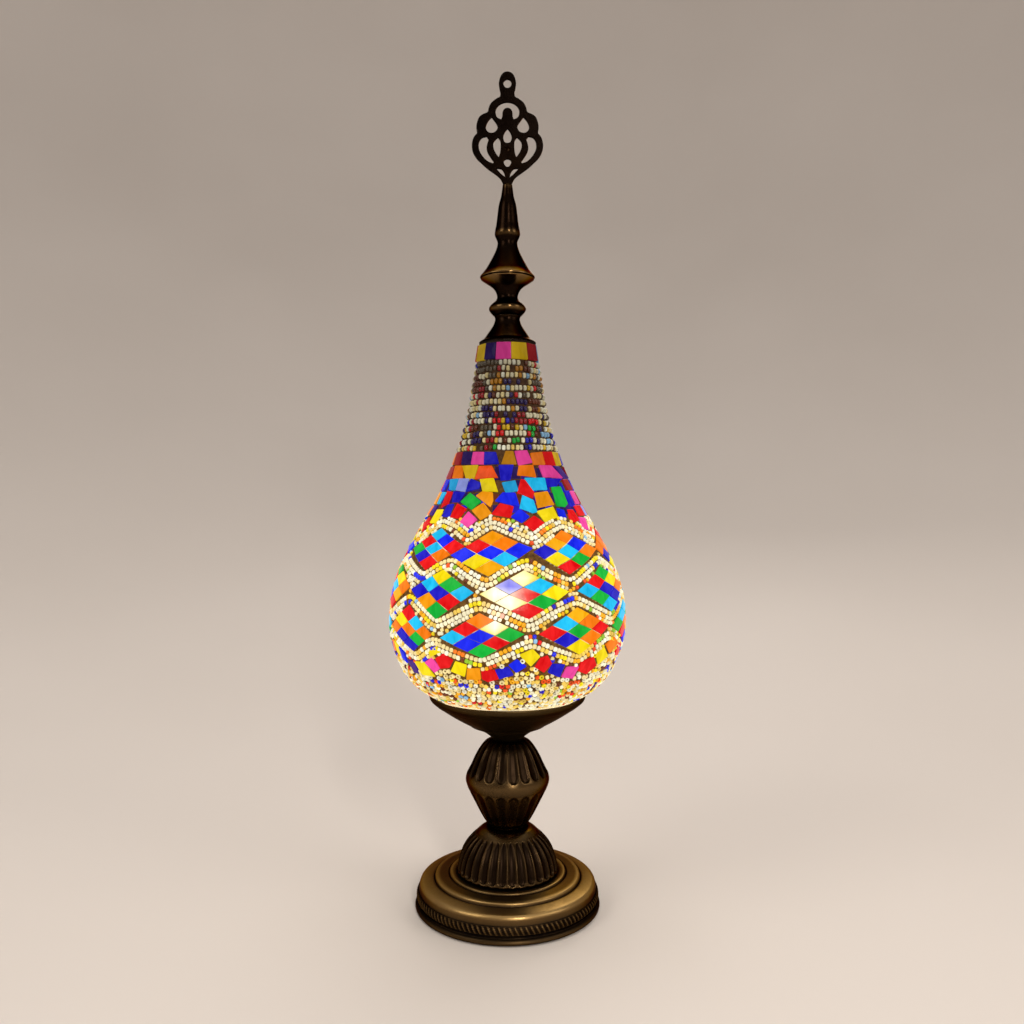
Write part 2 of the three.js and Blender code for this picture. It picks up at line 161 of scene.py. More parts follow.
def lathe(name, profile, segs, mat, disp=None, axis_open=False):
    """A turned piece: closed profile rows (r, z[, cav]) round +Z, outside first going up.
    disp(phi, r, z, k) gives (dr, dz, cav) arrays for the whole grid, k the row index."""
    p = np.asarray(profile, float)
    if p.shape[1] == 2:
        p = np.hstack([p, np.full((len(p), 1), 0.6)])
    phi = np.arange(segs) * 2 * np.pi / segs
    r = np.repeat(p[:, 0:1], segs, 1)
    z = np.repeat(p[:, 1:2], segs, 1)
    patina_and_painted_light = np.repeat(p[:, 2:3], segs, 1)
    if disp:
        dr, dz, patina_and_painted_light = disp(phi[None, :], r, z, patina_and_painted_light)
        r, z = r + dr, z + dz
    P = np.stack([r * np.sin(phi), -r * np.cos(phi), z], -1).reshape(-1, 3)
    n = len(p)
    i, j = np.meshgrid(np.arange(n), np.arange(segs), indexing="ij")
    i2, j2 = (i + 1) % n, (j + 1) % segs
    # outward when the profile's outside runs upward
    quads = np.stack([i * segs + j, i * segs + j2, i2 * segs + j2, i2 * segs + j], -1).reshape(-1, 4)
    return make_object(name, P, quads, None, {"patina_and_painted_light": patina_and_painted_light.reshape(-1)}, mat)


# ------------------------------------------------------------------ material helpers
def srgb(r, g, b):
    f = lambda c: c / 12.92 if c <= 0.04045 else ((c + 0.055) / 1.055) ** 2.4
    return np.array([f(x / 255.0) for x in (r, g, b)])


class Mat:
    def __init__(self, name, **inputs):
        self.m = bpy.data.materials.new(name)
        self.m.use_nodes = True
        self.nt = self.m.node_tree
        self.p = self.nt.nodes["Principled BSDF"]
        for k, v in inputs.items():
            self.p.inputs[k.replace("_", " ")].default_value = v

    def node(self, kind, **props):
        n = self.nt.nodes.new("ShaderNode" + kind)
        for k, v in props.items():
            setattr(n, k, v)
        return n

    def link(self, a, b):
        self.nt.links.new(a, b)

    def coords(self, scale=(1, 1, 1)):
        tc = self.node("TexCoord")
        mp = self.node("Mapping")
        mp.inputs["Scale"].default_value = scale
        self.link(tc.outputs["Object"], mp.inputs["Vector"])
        return mp.outputs["Vector"]

    def noise(self, scale, detail=3.0, rough=0.55, vec=None, stretch=(1, 1, 1), distortion=0.0):
        n = self.node("TexNoise")
        n.inputs["Scale"].default_value = scale
        n.inputs["Detail"].default_value = detail
        n.inputs["Roughness"].default_value = rough
        n.inputs["Distortion"].default_value = distortion
        self.link(vec or self.coords(stretch), n.inputs["Vector"])
        return n.outputs["Fac"]

    def attr(self, name, out="Fac"):
        n = self.node("Attribute")
        n.attribute_name = name
        return n.outputs[out]

    def math(self, op, a, b=None, c=None, clamp=False):
        n = self.node("Math", operation=op, use_clamp=clamp)
        for i, x in enumerate((a, b, c)):
            if x is None:
                continue
            if isinstance(x, (int, float)):
                n.inputs[i].default_value = x
            else:
                self.link(x, n.inputs[i])
        return n.outputs[0]

    def remap(self, x, a, b, lo, hi):
        n = self.node("MapRange")
        self.link(x, n.inputs["Value"])
        for k, v in (("From Min", a), ("From Max", b), ("To Min", lo), ("To Max", hi)):
            n.inputs[k].default_value = v
        return n.outputs["Result"]

    def ramp(self, fac, stops):
        n = self.node("ValToRGB")
        e = n.color_ramp.elements
        while len(e) < len(stops):
            e.new(0.5)
        for el, (pos, col) in zip(e, stops):
            el.position = pos
            el.color = (*col, 1)
        self.link(fac, n.inputs["Fac"])
        return n.outputs["Color"]

    def mix(self, fac, a, b, kind="MIX"):
        n = self.node("Mix", data_type="RGBA", blend_type=kind)
        for idx, x in ((0, fac), (6, a), (7, b)):
            if isinstance(x, (int, float)):
                n.inputs[idx].default_value = x
            elif isinstance(x, (tuple, list, np.ndarray)):
                n.inputs[idx].default_value = (*[float(c) for c in x[:3]], 1)
            else:
                self.link(x, n.inputs[idx])
        return n.outputs[2]

    def bump(self, height, strength, distance):
        n = self.node("Bump")
        n.inputs["Strength"].default_value = strength
        n.inputs["Distance"].default_value = distance
        self.link(height, n.inputs["Height"])
        self.link(n.outputs["Normal"], self.p.inputs["Normal"])

    def to(self, out, socket):
        self.link(out, self.p.inputs[socket])


def aged_metal(name, deep, mid, light, rough=0.34, patina_and_painted_light=True, patina=55.0, wear=0.5, bump=0.00012, coat=0.0):
    """Cast and rubbed brass: dark patina in the recesses, brighter on what a hand polishes, blotched by age; each
    piece's tone values also hold painted highlights and painted shade.
    """
    k = Mat(name, Metallic=1.0)
    k.p.inputs["Specular Tint"].default_value = (0.32, 0.22, 0.13, 1)
    k.p.inputs["Coat Weight"].default_value = coat
    k.p.inputs["Coat Roughness"].default_value = 0.07
    big = k.noise(patina, 4.0, 0.6)
    fine = k.noise(patina * 9, 3.0, 0.6)
    mixn = k.math("MULTIPLY_ADD", fine, 0.35, k.math("MULTIPLY", big, 0.65))
    if patina_and_painted_light:
        f = k.math("ADD", k.attr("patina_and_painted_light"), k.math("MULTIPLY", k.math("SUBTRACT", mixn, 0.5), wear * 1.6), clamp=True)
    else:
        f = k.remap(mixn, 0.3, 0.7, 0.25, 0.85)
    k.to(k.ramp(f, [(0.0, deep), (0.5, mid), (1.0, light)]), "Base Color")
    rr = k.math("ADD", k.remap(mixn, 0.3, 0.7, rough + 0.12, rough - 0.05), k.math("MULTIPLY", k.math("SUBTRACT", 1.0, f), 0.12))
    k.to(rr, "Roughness")
    k.bump(k.noise(patina * 16, 4.0, 0.6), 0.35, bump)
    return k.m


def simple(name, a, b, rough, scale, metal=0.0, bump=0.0001, stretch=(1, 1, 1), **extra):
    k = Mat(name, Metallic=metal, **extra)
    n = k.noise(scale, 4.0, 0.6, stretch=stretch)
    k.to(k.ramp(n, [(0.3, a), (0.7, b)]), "Base Color")
    k.to(k.remap(n, 0.3, 0.7, rough - 0.06, rough + 0.08), "Roughness")
    k.bump(k.noise(scale * 6, 3.0, 0.6, stretch=stretch), 0.3, bump)
    return k.m


M_FOOT = aged_metal("antique_brass_foot", (0.006, 0.004, 0.003), (0.108, 0.064, 0.025), (0.37, 0.235, 0.088), 0.29, wear=0.16)
M_STEM = aged_metal("antique_brass_stem", (0.008, 0.0045, 0.003), (0.025, 0.0142, 0.0065), (0.115, 0.070, 0.028), 0.20, wear=0.2)
M_DISH = aged_metal("dark_brass_gallery", (0.006, 0.004, 0.003), (0.056, 0.035, 0.0135), (0.12, 0.078, 0.030), 0.33, wear=0.2)
M_FINIAL = aged_metal("dark_brass_finial", (0.004, 0.0025, 0.002), (0.009, 0.0044, 0.0022), (0.18, 0.105, 0.040), 0.13, wear=0.14)
M_STEEL = simple("zinc_plated_steel", (0.42, 0.42, 0.40), (0.60, 0.59, 0.55), 0.34, 300, 1.0)
M_IRON = simple("cast_iron", (0.03, 0.028, 0.027), (0.07, 0.065, 0.06), 0.75, 260, 0.6, 0.0004)
M_CONTACT = simple("contact_brass", (0.62, 0.42, 0.16), (0.78, 0.56, 0.25), 0.28, 300, 1.0)
M_FELT = simple("green_felt", (0.010, 0.018, 0.012), (0.030, 0.045, 0.032), 0.95, 900, 0.0, 0.0005)
M_RUBBER = simple("black_rubber", (0.012, 0.011, 0.011), (0.026, 0.024, 0.024), 0.62, 400)
M_SEAL = simple("dark_fibre_seal", (0.006, 0.004, 0.003), (0.014, 0.009, 0.006), 0.85, 400)
M_SEAL.node_tree.nodes["Principled BSDF"].inputs["Specular IOR Level"].default_value = 0.08
M_HOLDER = simple("black_phenolic", (0.010, 0.010, 0.010), (0.022, 0.020, 0.020), 0.38, 200)
M_PORCELAIN = simple("porcelain", (0.78, 0.75, 0.68), (0.86, 0.83, 0.76), 0.25, 120)
M_LIVE = simple("brown_lead", (0.10, 0.035, 0.012), (0.15, 0.055, 0.02), 0.5, 300)
M_NEUTRAL = simple("blue_lead", (0.012, 0.05, 0.22), (0.02, 0.075, 0.30), 0.5, 300)


def mosaic_material(name, rough, streak, base_share, coat=0.0):
    """Coloured glass lit from behind: colour from the piece, light from its place round the bulb."""
    k = Mat(name, Roughness=rough, IOR=1.5)
    k.p.inputs["Specular IOR Level"].default_value = coat
    col = k.attr("Col", "Color")
    glow = k.attr("glow")
    hot = k.attr("hot")
    n = k.noise(streak, 2.5, 0.55, stretch=(1.0, 1.0, 0.45), distortion=0.6)
    n2 = k.noise(streak * 3.1, 2.0, 0.5)
    tone = k.mix(k.remap(n, 0.3, 0.7, 0.0, 1.0), k.mix(1.0, col, (0.80, 0.80, 0.80), "MULTIPLY"), k.mix(0.015, k.mix(1.0, col, (1.12, 1.12, 1.12), "MULTIPLY"), (1, 1, 0.9)))
    # painted highlight: the glow whitened where the bulb's image shows through
    bulb_glare_fac = k.math("MULTIPLY", hot, k.remap(n, 0.3, 0.7, 0.86, 1.08), clamp=True)
    lit = k.mix(bulb_glare_fac, tone, (1.4, 1.3, 1.0))
    k.to(k.mix(1.0, tone, (base_share,) * 3, "MULTIPLY"), "Base Color")
    k.to(lit, "Emission Color")
    k.to(glow, "Emission Strength")
    k.to(k.remap(n2, 0.3, 0.7, rough - 0.05, rough + 0.08), "Roughness")
    k.bump(n2, 0.25, 0.00012)
    k.m.cycles.emission_sampling = "NONE"
    return k.m


M_TILE = mosaic_material("stained_glass_tile", 0.16, 160, 0.05, 0.05)
M_BEAD = mosaic_material("glass_seed_bead", 0.20, 420, 0.16, 0.30)


def grout_material():
    k = Mat("mosaic_grout", Roughness=0.85)
    k.p.inputs["Specular IOR Level"].default_value = 0.12
    n = k.noise(260, 4.0, 0.65)
    light_leak = k.attr("light_leak")
    glow = k.attr("glow")
    k.to(k.ramp(n, [(0.3, (0.018, 0.009, 0.005)), (0.7, (0.055, 0.028, 0.012))]), "Base Color")
    # painted light: the grout glows dim brown where lit through the glass, bright cream where light leaks between the
    # lozenges' tiles
    dim = k.ramp(n, [(0.32, (0.040, 0.016, 0.003)), (0.68, (0.170, 0.075, 0.010))])
    bright = k.ramp(n, [(0.3, (0.85, 0.60, 0.22)), (0.7, (1.0, 0.92, 0.66))])
    part = k.math("MULTIPLY", light_leak, k.remap(k.noise(95, 2.0, 0.5), 0.42, 0.60, 0.10, 1.0), clamp=True)
    k.to(k.mix(part, dim, bright), "Emission Color")
    k.to(glow, "Emission Strength")
    k.bump(k.noise(700, 4.0, 0.6), 0.6, 0.0004)
    k.m.cycles.emission_sampling = "NONE"
    return k.m


M_GROUT = grout_material()


def glass_material(name, rough, tint, glow, colour):
    k = Mat(name, Roughness=rough, IOR=1.5)
    k.p.inputs["Transmission Weight"].default_value = 0.85
    k.to(k.ramp(k.noise(80, 3.0), [(0.3, tint), (0.7, tuple(min(1, c * 1.04) for c in tint))]), "Base Color")
    k.p.inputs["Emission Color"].default_value = (*colour, 1)
    k.p.inputs["Emission Strength"].default_value = glow
    k.bump(k.noise(120, 2.0), 0.15, 0.0002)
    k.m.cycles.emission_sampling = "NONE"
    return k.m


M_GLASS = glass_material("globe_glass", 0.35, (0.95, 0.92, 0.86), 0.35, (1.0, 0.80, 0.48))
M_BULB = glass_material("bulb_glass", 0.25, (0.98, 0.95, 0.9), 2.2, (1.0, 0.82, 0.52))
M_FILAMENT = glass_material("lit_filament", 0.4, (1.0, 0.8, 0.5), 12.0, (1.0, 0.72, 0.36))

# ------------------------------------------------------------------ the globe's surface
OUT = np.array([
    (154.5, 54.2), (158.5, 61.0), (162.1, 66.0), (166.5, 70.6), (171.8, 74.9), (176.5, 77.6), (181.5, 79.9),
    (191.2, 83.7), (200.9, 85.8), (210.6, 86.3), (220.3, 85.8), (230.0, 84.4), (239.7, 81.9), (249.4, 78.5),
    (259.0, 74.0), (268.7, 68.9), (278.4, 63.5), (289.0, 57.4), (296.9, 52.8), (304.2, 49.1), (311.5, 45.7),
    (319.0, 42.4), (326.9, 39.6), (336.6, 36.4), (346.3, 33.5), (356.0, 30.9), (365.7, 28.8), (375.4, 27.1),
    (385.1, 25.5), (394.8, 24.0), (402.0, 22.9), (409.6, 21.7),
])
SLOPE = np.gradient(OUT[:, 1], OUT[:, 0])
BULB = np.array([0.0, 0.0, 217.5])


def R(z):
    z = np.clip(z, OUT[0, 0], OUT[-1, 0])
    i = np.clip(np.searchsorted(OUT[:, 0], z) - 1, 0, len(OUT) - 2)
    h = OUT[i + 1, 0] - OUT[i, 0]
    t = (z - OUT[i, 0]) / h
    return ((2 * t**3 - 3 * t**2 + 1) * OUT[i, 1] + (t**3 - 2 * t**2 + t) * h * SLOPE[i]
            + (-2 * t**3 + 3 * t**2) * OUT[i + 1, 1] + (t**3 - t**2) * h * SLOPE[i + 1])


def surf(deg, z, d=0.0):
    """Point and outward normal at an angle and height, d millimetres above the mosaic's outline."""
    deg, z, d = np.broadcast_arrays(np.asarray(deg, float), np.asarray(z, float), np.asarray(d, float))
    th = np.radians(deg)
    s = (R(z + 0.4) - R(z - 0.4)) / 0.8
    k = 1 / np.sqrt(1 + s * s)
    nr, nz = k, -s * k
    r = R(z) + nr * d
    P = np.stack([r * np.sin(th), -r * np.cos(th), z + nz * d], -1)
    N = np.stack([nr * np.sin(th), -nr * np.cos(th), nz], -1)
    return P, N


def light_at(P, N):
    """How strongly the bulb lights the mosaic from behind."""
    v = P - BULB
    d = np.linalg.norm(v, axis=-1)
    c = np.clip((v * N).sum(-1) / d, 0, 1)
    return np.clip(83.0 / d, 0, 1.08) ** 1.05 * (0.55 + 0.45 * c)


# painted highlights where the bulb's image shows through: angle, height, reach in millimetres
BULB_GLARE_SPOTS = [(-6.2, 237.0, 7.2, 1.0), (-1.2, 234.0, 8.0, 1.0), (3.0, 231.2, 6.8, 0.96), (5.6, 247.0, 7.5, 0.72), (-5.2, 219.0, 7.5, 0.97), (-9.0, 224.0, 5.0, 0.6),
       (146.0, 233.0, 10.0, 0.9), (194.0, 230.0, 10.0, 0.9), (238.0, 233.0, 9.0, 0.8), (101.0, 231.0, 9.0, 0.8)]


def painted_bulb_glare(P):
    """How strongly the painted image of the bulb whitens the glass at each point."""
    h = np.zeros(P.shape[:-1])
    for a, z, reach, k in BULB_GLARE_SPOTS:
        c, _ = surf(a, z)
        d = np.linalg.norm(P - c, axis=-1)
        h = np.maximum(h, k * np.exp(-((d / reach) ** 3)))
    return h


PAL = {k: srgb(*v) for k, v in dict(
    red=(236, 6, 14), dred=(168, 10, 26), orred=(255, 84, 6), orange=(255, 126, 0), orange2=(255, 158, 0),
    amber=(255, 176, 0), amberd=(206, 136, 10), yell=(255, 226, 0), yelld=(235, 190, 16), green=(14, 182, 56),
    cyan=(24, 194, 246), cyand=(26, 160, 216), blue=(14, 34, 240), dblue=(26, 20, 196), navy=(42, 16, 92),
    purple=(66, 20, 132), lav=(150, 162, 234), pink=(252, 72, 166), white=(255, 250, 222), cream=(255, 243, 202),
    ivory=(255, 230, 160), straw=(248, 206, 88), lblue=(150, 200, 236), brown=(112, 48, 14), lime=(150, 200, 40), clear=(104, 88, 66),
).items()}


# ------------------------------------------------------------------ tiles
def ccw(q):
    x, y = q[:, 0], q[:, 1]
    return q if (x * np.roll(y, -1) - y * np.roll(x, -1)).sum() > 0 else q[::-1]


def inset_poly(q, g):
    n = len(q)
    out = []
    for i in range(n):
        a, b, c = q[i - 1], q[i], q[(i + 1) % n]
        e1, e2 = b - a, c - b
        e1, e2 = e1 / max(np.linalg.norm(e1), 1e-9), e2 / max(np.linalg.norm(e2), 1e-9)
        n1, n2 = np.array([-e1[1], e1[0]]), np.array([-e2[1], e2[0]])
        m = n1 + n2
        k = m.dot(m) / 2
        out.append(b + m * (g / max(k, 0.45)))
    return np.array(out)


def round_poly(q, rho, steps=4):
    n = len(q)
    out = []
    for i in range(n):
        a, b, c = q[i - 1], q[i], q[(i + 1) % n]
        la, lc = np.linalg.norm(a - b), np.linalg.norm(c - b)
        s, e = b + (a - b) * min(rho / la, 0.4), b + (c - b) * min(rho / lc, 0.4)
        for t in np.linspace(0, 1, steps):
            out.append((1 - t) ** 2 * s + 2 * t * (1 - t) * b + t * t * e)
    return np.array(out)


POLYS = []  # every tile's outline in (deg, z), so beads keep clear of them


def tile(batch, pts, colour, gap=0.3, rho=0.8, hot=0.06, gain=1.0, sunk=0.45, keep=True, tilt=0.012, thick=2.3):
    pts = np.asarray(pts, float)
    if keep:
        POLYS.append(pts)
    P, _ = surf(pts[:, 0], pts[:, 1])
    ca, cz = pts.mean(0)
    c, n = surf(ca, cz, -sunk)
    n = n + rng.normal(0, tilt, 3)
    n /= np.linalg.norm(n)
    t1 = np.array([math.cos(math.radians(ca)), math.sin(math.radians(ca)), 0.0])
    t1 = t1 - n * t1.dot(n)
    t1 /= np.linalg.norm(t1)
    t2 = np.cross(n, t1)
    q = ccw(np.stack([(P - c).dot(t1), (P - c).dot(t2)], -1))
    q = inset_poly(q, gap)
    ring0 = round_poly(q, rho)
    m = len(ring0)
    mid = ring0.mean(0)
    g = light_at(c, n) * gain
    col = PAL[colour] * rng.uniform(0.92, 1.05)
    rings = [(0.0, -thick, 0.40), (0.0, -0.55, 0.80), (0.07, -0.18, 1.0), (0.28, 0.0, 1.0), (0.9, 0.03, 1.0)]
    vs, gs = [], []
    for ins, dep, lum in rings:
        rr = inset_poly(ring0, ins) if ins and ins < 0.5 else ring0 + (mid - ring0) * (ins / max(3.0, np.linalg.norm(ring0 - mid, axis=1).mean()))
        vs.append(c + rr[:, 0:1] * t1 + rr[:, 1:2] * t2 + n * dep)
        gs.append(np.full(m, g * lum))
    vs += [(c + mid[0] * t1 + mid[1] * t2 + n * 0.05)[None], (c + mid[0] * t1 + mid[1] * t2 - n * thick)[None]]
    gs += [np.array([g]), np.array([g * 0.3])]
    v = np.concatenate(vs)
    k = len(rings)
    i = np.arange(m)
    j = (i + 1) % m
    quads = np.concatenate([np.stack([a * m + i, a * m + j, (a + 1) * m + j, (a + 1) * m + i], -1) for a in range(k - 1)])
    top, bot = k * m, k * m + 1
    tris = np.concatenate([np.stack([(k - 1) * m + i, (k - 1) * m + j, np.full(m, top)], -1),
                           np.stack([j, i, np.full(m, bot)], -1)])
    batch.add(v, quads, tris, Col=np.repeat(col[None], len(v), 0), glow=np.concatenate(gs), hot=painted_bulb_glare(v) * hot)


# outlines of the tiles at the front, [deg, z] corners
TILES = {
    "A": [
        ("dred", [[-72.1, 331.0], [-57.24, 330.96], [-56.11, 322.38], [-70.3, 322.71]]),
        ("navy", [[-55.13, 330.9], [-40.04, 330.53], [-39.15, 322.41], [-52.64, 322.66]]),
        ("pink", [[-38.63, 330.5], [-25.94, 330.27], [-23.96, 322.2], [-37.84, 322.38]]),
        ("dblue", [[-24.2, 330.25], [-12.68, 330.13], [-8.86, 322.43], [-22.89, 322.18]]),
        ("amberd", [[-1.28, 330.78], [5.95, 330.79], [8.4, 322.08], [-5.0, 322.42]]),
        ("pink", [[8.56, 330.8], [21.07, 331.4], [24.75, 323.25], [11.24, 321.4]]),
        ("orange", [[25.73, 329.57], [39.17, 330.51], [39.53, 322.06], [26.57, 321.88]]),
        ("red", [[40.6, 330.54], [55.68, 330.91], [56.08, 321.67], [41.53, 322.1]]),
        ("yelld", [[57.81, 330.97], [72.2, 331.0], [71.2, 322.4], [58.05, 321.71]]),
    ],
    "B": [
        ("dred", [[-81.0, 320.6], [-67.0, 321.1], [-63.0, 312.57], [-78.15, 312.6]]),
        ("orange", [[-64.04, 321.3], [-50.78, 321.21], [-44.6, 312.64], [-60.28, 312.86]]),
        ("yelld", [[-48.94, 320.82], [-30.32, 321.23], [-30.79, 312.27], [-39.67, 312.25]]),
        ("orred", [[-27.81, 320.49], [-15.49, 320.73], [-8.87, 312.74], [-29.12, 312.0]]),
        ("dblue", [[-7.78, 321.04], [5.48, 321.2], [2.4, 311.35], [-5.27, 311.01]]),
        ("orange", [[11.65, 320.71], [25.3, 321.16], [26.1, 313.17], [9.58, 314.46]]),
        ("pink", [[32.99, 320.91], [48.93, 321.17], [58.44, 312.6], [34.44, 313.25]]),
        ("purple", [[51.95, 320.88], [64.19, 321.0], [75.5, 312.83], [62.57, 312.54]]),
    ],
    "C": [
        ("cyand", [[-62.83, 311.48], [-50.2, 311.9], [-49.0, 304.3], [-57.5, 304.7]]),
        ("lav", [[-48.1, 312.0], [-36.6, 311.77], [-36.88, 303.42], [-47.2, 304.3]]),
        ("dblue", [[-33.44, 311.8], [-23.33, 308.67], [-24.22, 305.24], [-35.33, 303.41]]),
        ("yell", [[-24.08, 311.3], [-12.36, 312.1], [-7.98, 303.3], [-19.86, 303.6]]),
        ("cyand", [[-3.89, 308.95], [6.63, 310.47], [8.58, 303.84], [-0.89, 302.6]]),
        ("red", [[12.32, 311.37], [15.36, 311.04], [21.45, 302.5], [19.84, 299.1], [8.43, 302.14]]),
        ("cyan", [[15.98, 312.0], [34.68, 312.2], [33.96, 304.59], [21.86, 304.2]]),
        ("dblue", [[36.02, 311.87], [55.92, 311.74], [46.42, 307.08], [36.41, 306.67]]),
        ("dred", [[60.02, 311.6], [72.0, 311.8], [74.0, 304.83], [62.22, 304.73]]),
    ],
    "D": [
        ("red", [[-59.0, 303.3], [-51.2, 302.57], [-50.3, 294.93], [-57.92, 292.09]]),
        ("dblue", [[-49.07, 303.0], [-36.4, 302.3], [-39.3, 296.35], [-45.9, 295.99]]),
        ("green", [[-31.02, 302.17], [-20.26, 296.39], [-25.88, 291.32], [-36.42, 296.01]]),
        ("orange2", [[-20.24, 302.9], [-11.88, 302.3], [-10.8, 297.07], [-12.09, 293.05], [-24.1, 300.11]]),
        ("blue", [[-3.24, 302.3], [6.11, 302.2], [8.41, 293.72], [0.63, 295.06], [-8.16, 296.74]]),
        ("cyan", [[12.16, 300.45], [19.78, 297.07], [20.66, 289.68], [17.64, 289.03], [9.3, 292.05]]),
        ("orange2", [[22.2, 301.81], [33.9, 303.1], [36.13, 294.31], [22.76, 292.31]]),
        ("green", [[40.42, 306.0], [51.64, 306.5], [51.52, 294.92], [47.17, 292.83], [39.36, 293.57]]),
        ("dblue", [[55.76, 303.5], [62.5, 303.6], [61.5, 293.0], [53.8, 293.2]]),
        ("pink", [[65.5, 303.5], [76.0, 303.6], [75.0, 295.0], [65.0, 294.6]]),
    ],
    "E": [
        ("yell", [[-61.5, 290.3], [-52.8, 290.43], [-53.6, 281.6], [-62.07, 281.58]]),
        ("dblue", [[-49.6, 294.0], [-43.9, 294.41], [-43.2, 286.1], [-50.3, 286.32]]),
        ("red", [[-39.58, 294.63], [-30.3, 291.29], [-33.58, 285.21], [-41.23, 285.78]]),
        ("pink", [[-27.54, 289.3], [-20.29, 284.37], [-25.24, 279.36], [-31.36, 282.58]]),
        ("orange2", [[-17.7, 295.38], [-10.98, 288.4], [-17.44, 284.4], [-24.68, 290.3]]),
        ("red", [[-5.13, 295.0], [4.11, 292.72], [1.88, 285.97], [-10.04, 288.06]]),
        ("blue", [[8.89, 291.19], [14.41, 286.39], [9.35, 282.67], [3.18, 286.3]]),
        ("red", [[18.22, 286.7], [23.73, 282.02], [16.13, 277.07], [10.86, 281.81]]),
        ("yell", [[21.32, 289.57], [34.58, 292.56], [35.51, 286.0], [25.22, 283.0]]),
        ("blue", [[38.43, 291.57], [43.93, 290.16], [43.36, 285.4], [37.88, 286.15]]),
        ("red", [[48.47, 290.6], [54.6, 290.4], [56.21, 283.61], [49.54, 282.43], [46.6, 284.9]]),
        ("pink", [[57.9, 285.36], [66.96, 284.4], [62.8, 276.9], [56.65, 278.31]]),
        ("red", [[59.0, 293.0], [70.5, 293.3], [70.0, 286.8], [59.5, 286.8]]),
    ],
    "F": [
        ("purple", [[-56.2, 187.4], [-50.5, 187.9], [-49.3, 179.3], [-54.4, 178.7]]),
        ("yell", [[-49.2, 187.6], [-42.6, 188.3], [-38.2, 179.37], [-46.9, 179.07]]),
        ("pink", [[-41.54, 188.67], [-36.56, 192.68], [-33.2, 185.9], [-37.12, 182.39]]),
        ("red", [[-34.21, 192.71], [-29.36, 196.47], [-25.12, 192.6], [-27.62, 187.43], [-32.52, 186.36]]),
        ("yell", [[-23.7, 191.74], [-18.53, 189.87], [-20.44, 181.95], [-26.69, 185.1]]),
        ("orange2", [[-18.29, 187.46], [-12.59, 187.91], [-12.7, 180.49], [-19.44, 179.91]]),
        ("red", [[-11.62, 186.25], [-5.79, 187.19], [-4.14, 181.24], [-8.96, 178.93], [-11.76, 180.93]]),
        ("dblue", [[-5.11, 187.21], [0.49, 189.36], [2.78, 184.1], [-3.45, 181.25]]),
        ("blue", [[0.93, 190.74], [4.4, 194.42], [8.48, 189.87], [4.33, 185.83]]),
        ("yell", [[5.65, 197.72], [11.24, 201.13], [14.49, 196.3], [10.72, 190.1]]),
        ("red", [[15.01, 194.92], [18.15, 196.35], [20.41, 191.06], [17.11, 185.46], [12.81, 189.29]]),
        ("dblue", [[20.96, 190.32], [27.11, 189.25], [25.83, 180.94], [19.61, 184.87]]),
        ("pink", [[28.74, 187.28], [35.37, 186.6], [33.81, 178.71], [27.22, 180.76]]),
        ("red", [[36.51, 189.57], [43.64, 192.12], [47.4, 185.67], [42.11, 180.48], [35.45, 184.18]]),
        ("yell", [[45.36, 193.87], [50.4, 197.6], [55.29, 190.78], [49.3, 186.16]]),
        ("orange", [[52.0, 199.2], [59.05, 203.24], [64.27, 198.0], [57.39, 192.5]]),
        ("red", [[65.6, 197.6], [72.2, 196.0], [70.5, 188.0], [63.9, 189.6]]),
    ],
    "X": [
        ("yell", [[-38.09, 197.2], [-32.8, 201.0], [-31.12, 197.58], [-36.94, 193.99]]),
    ],
}
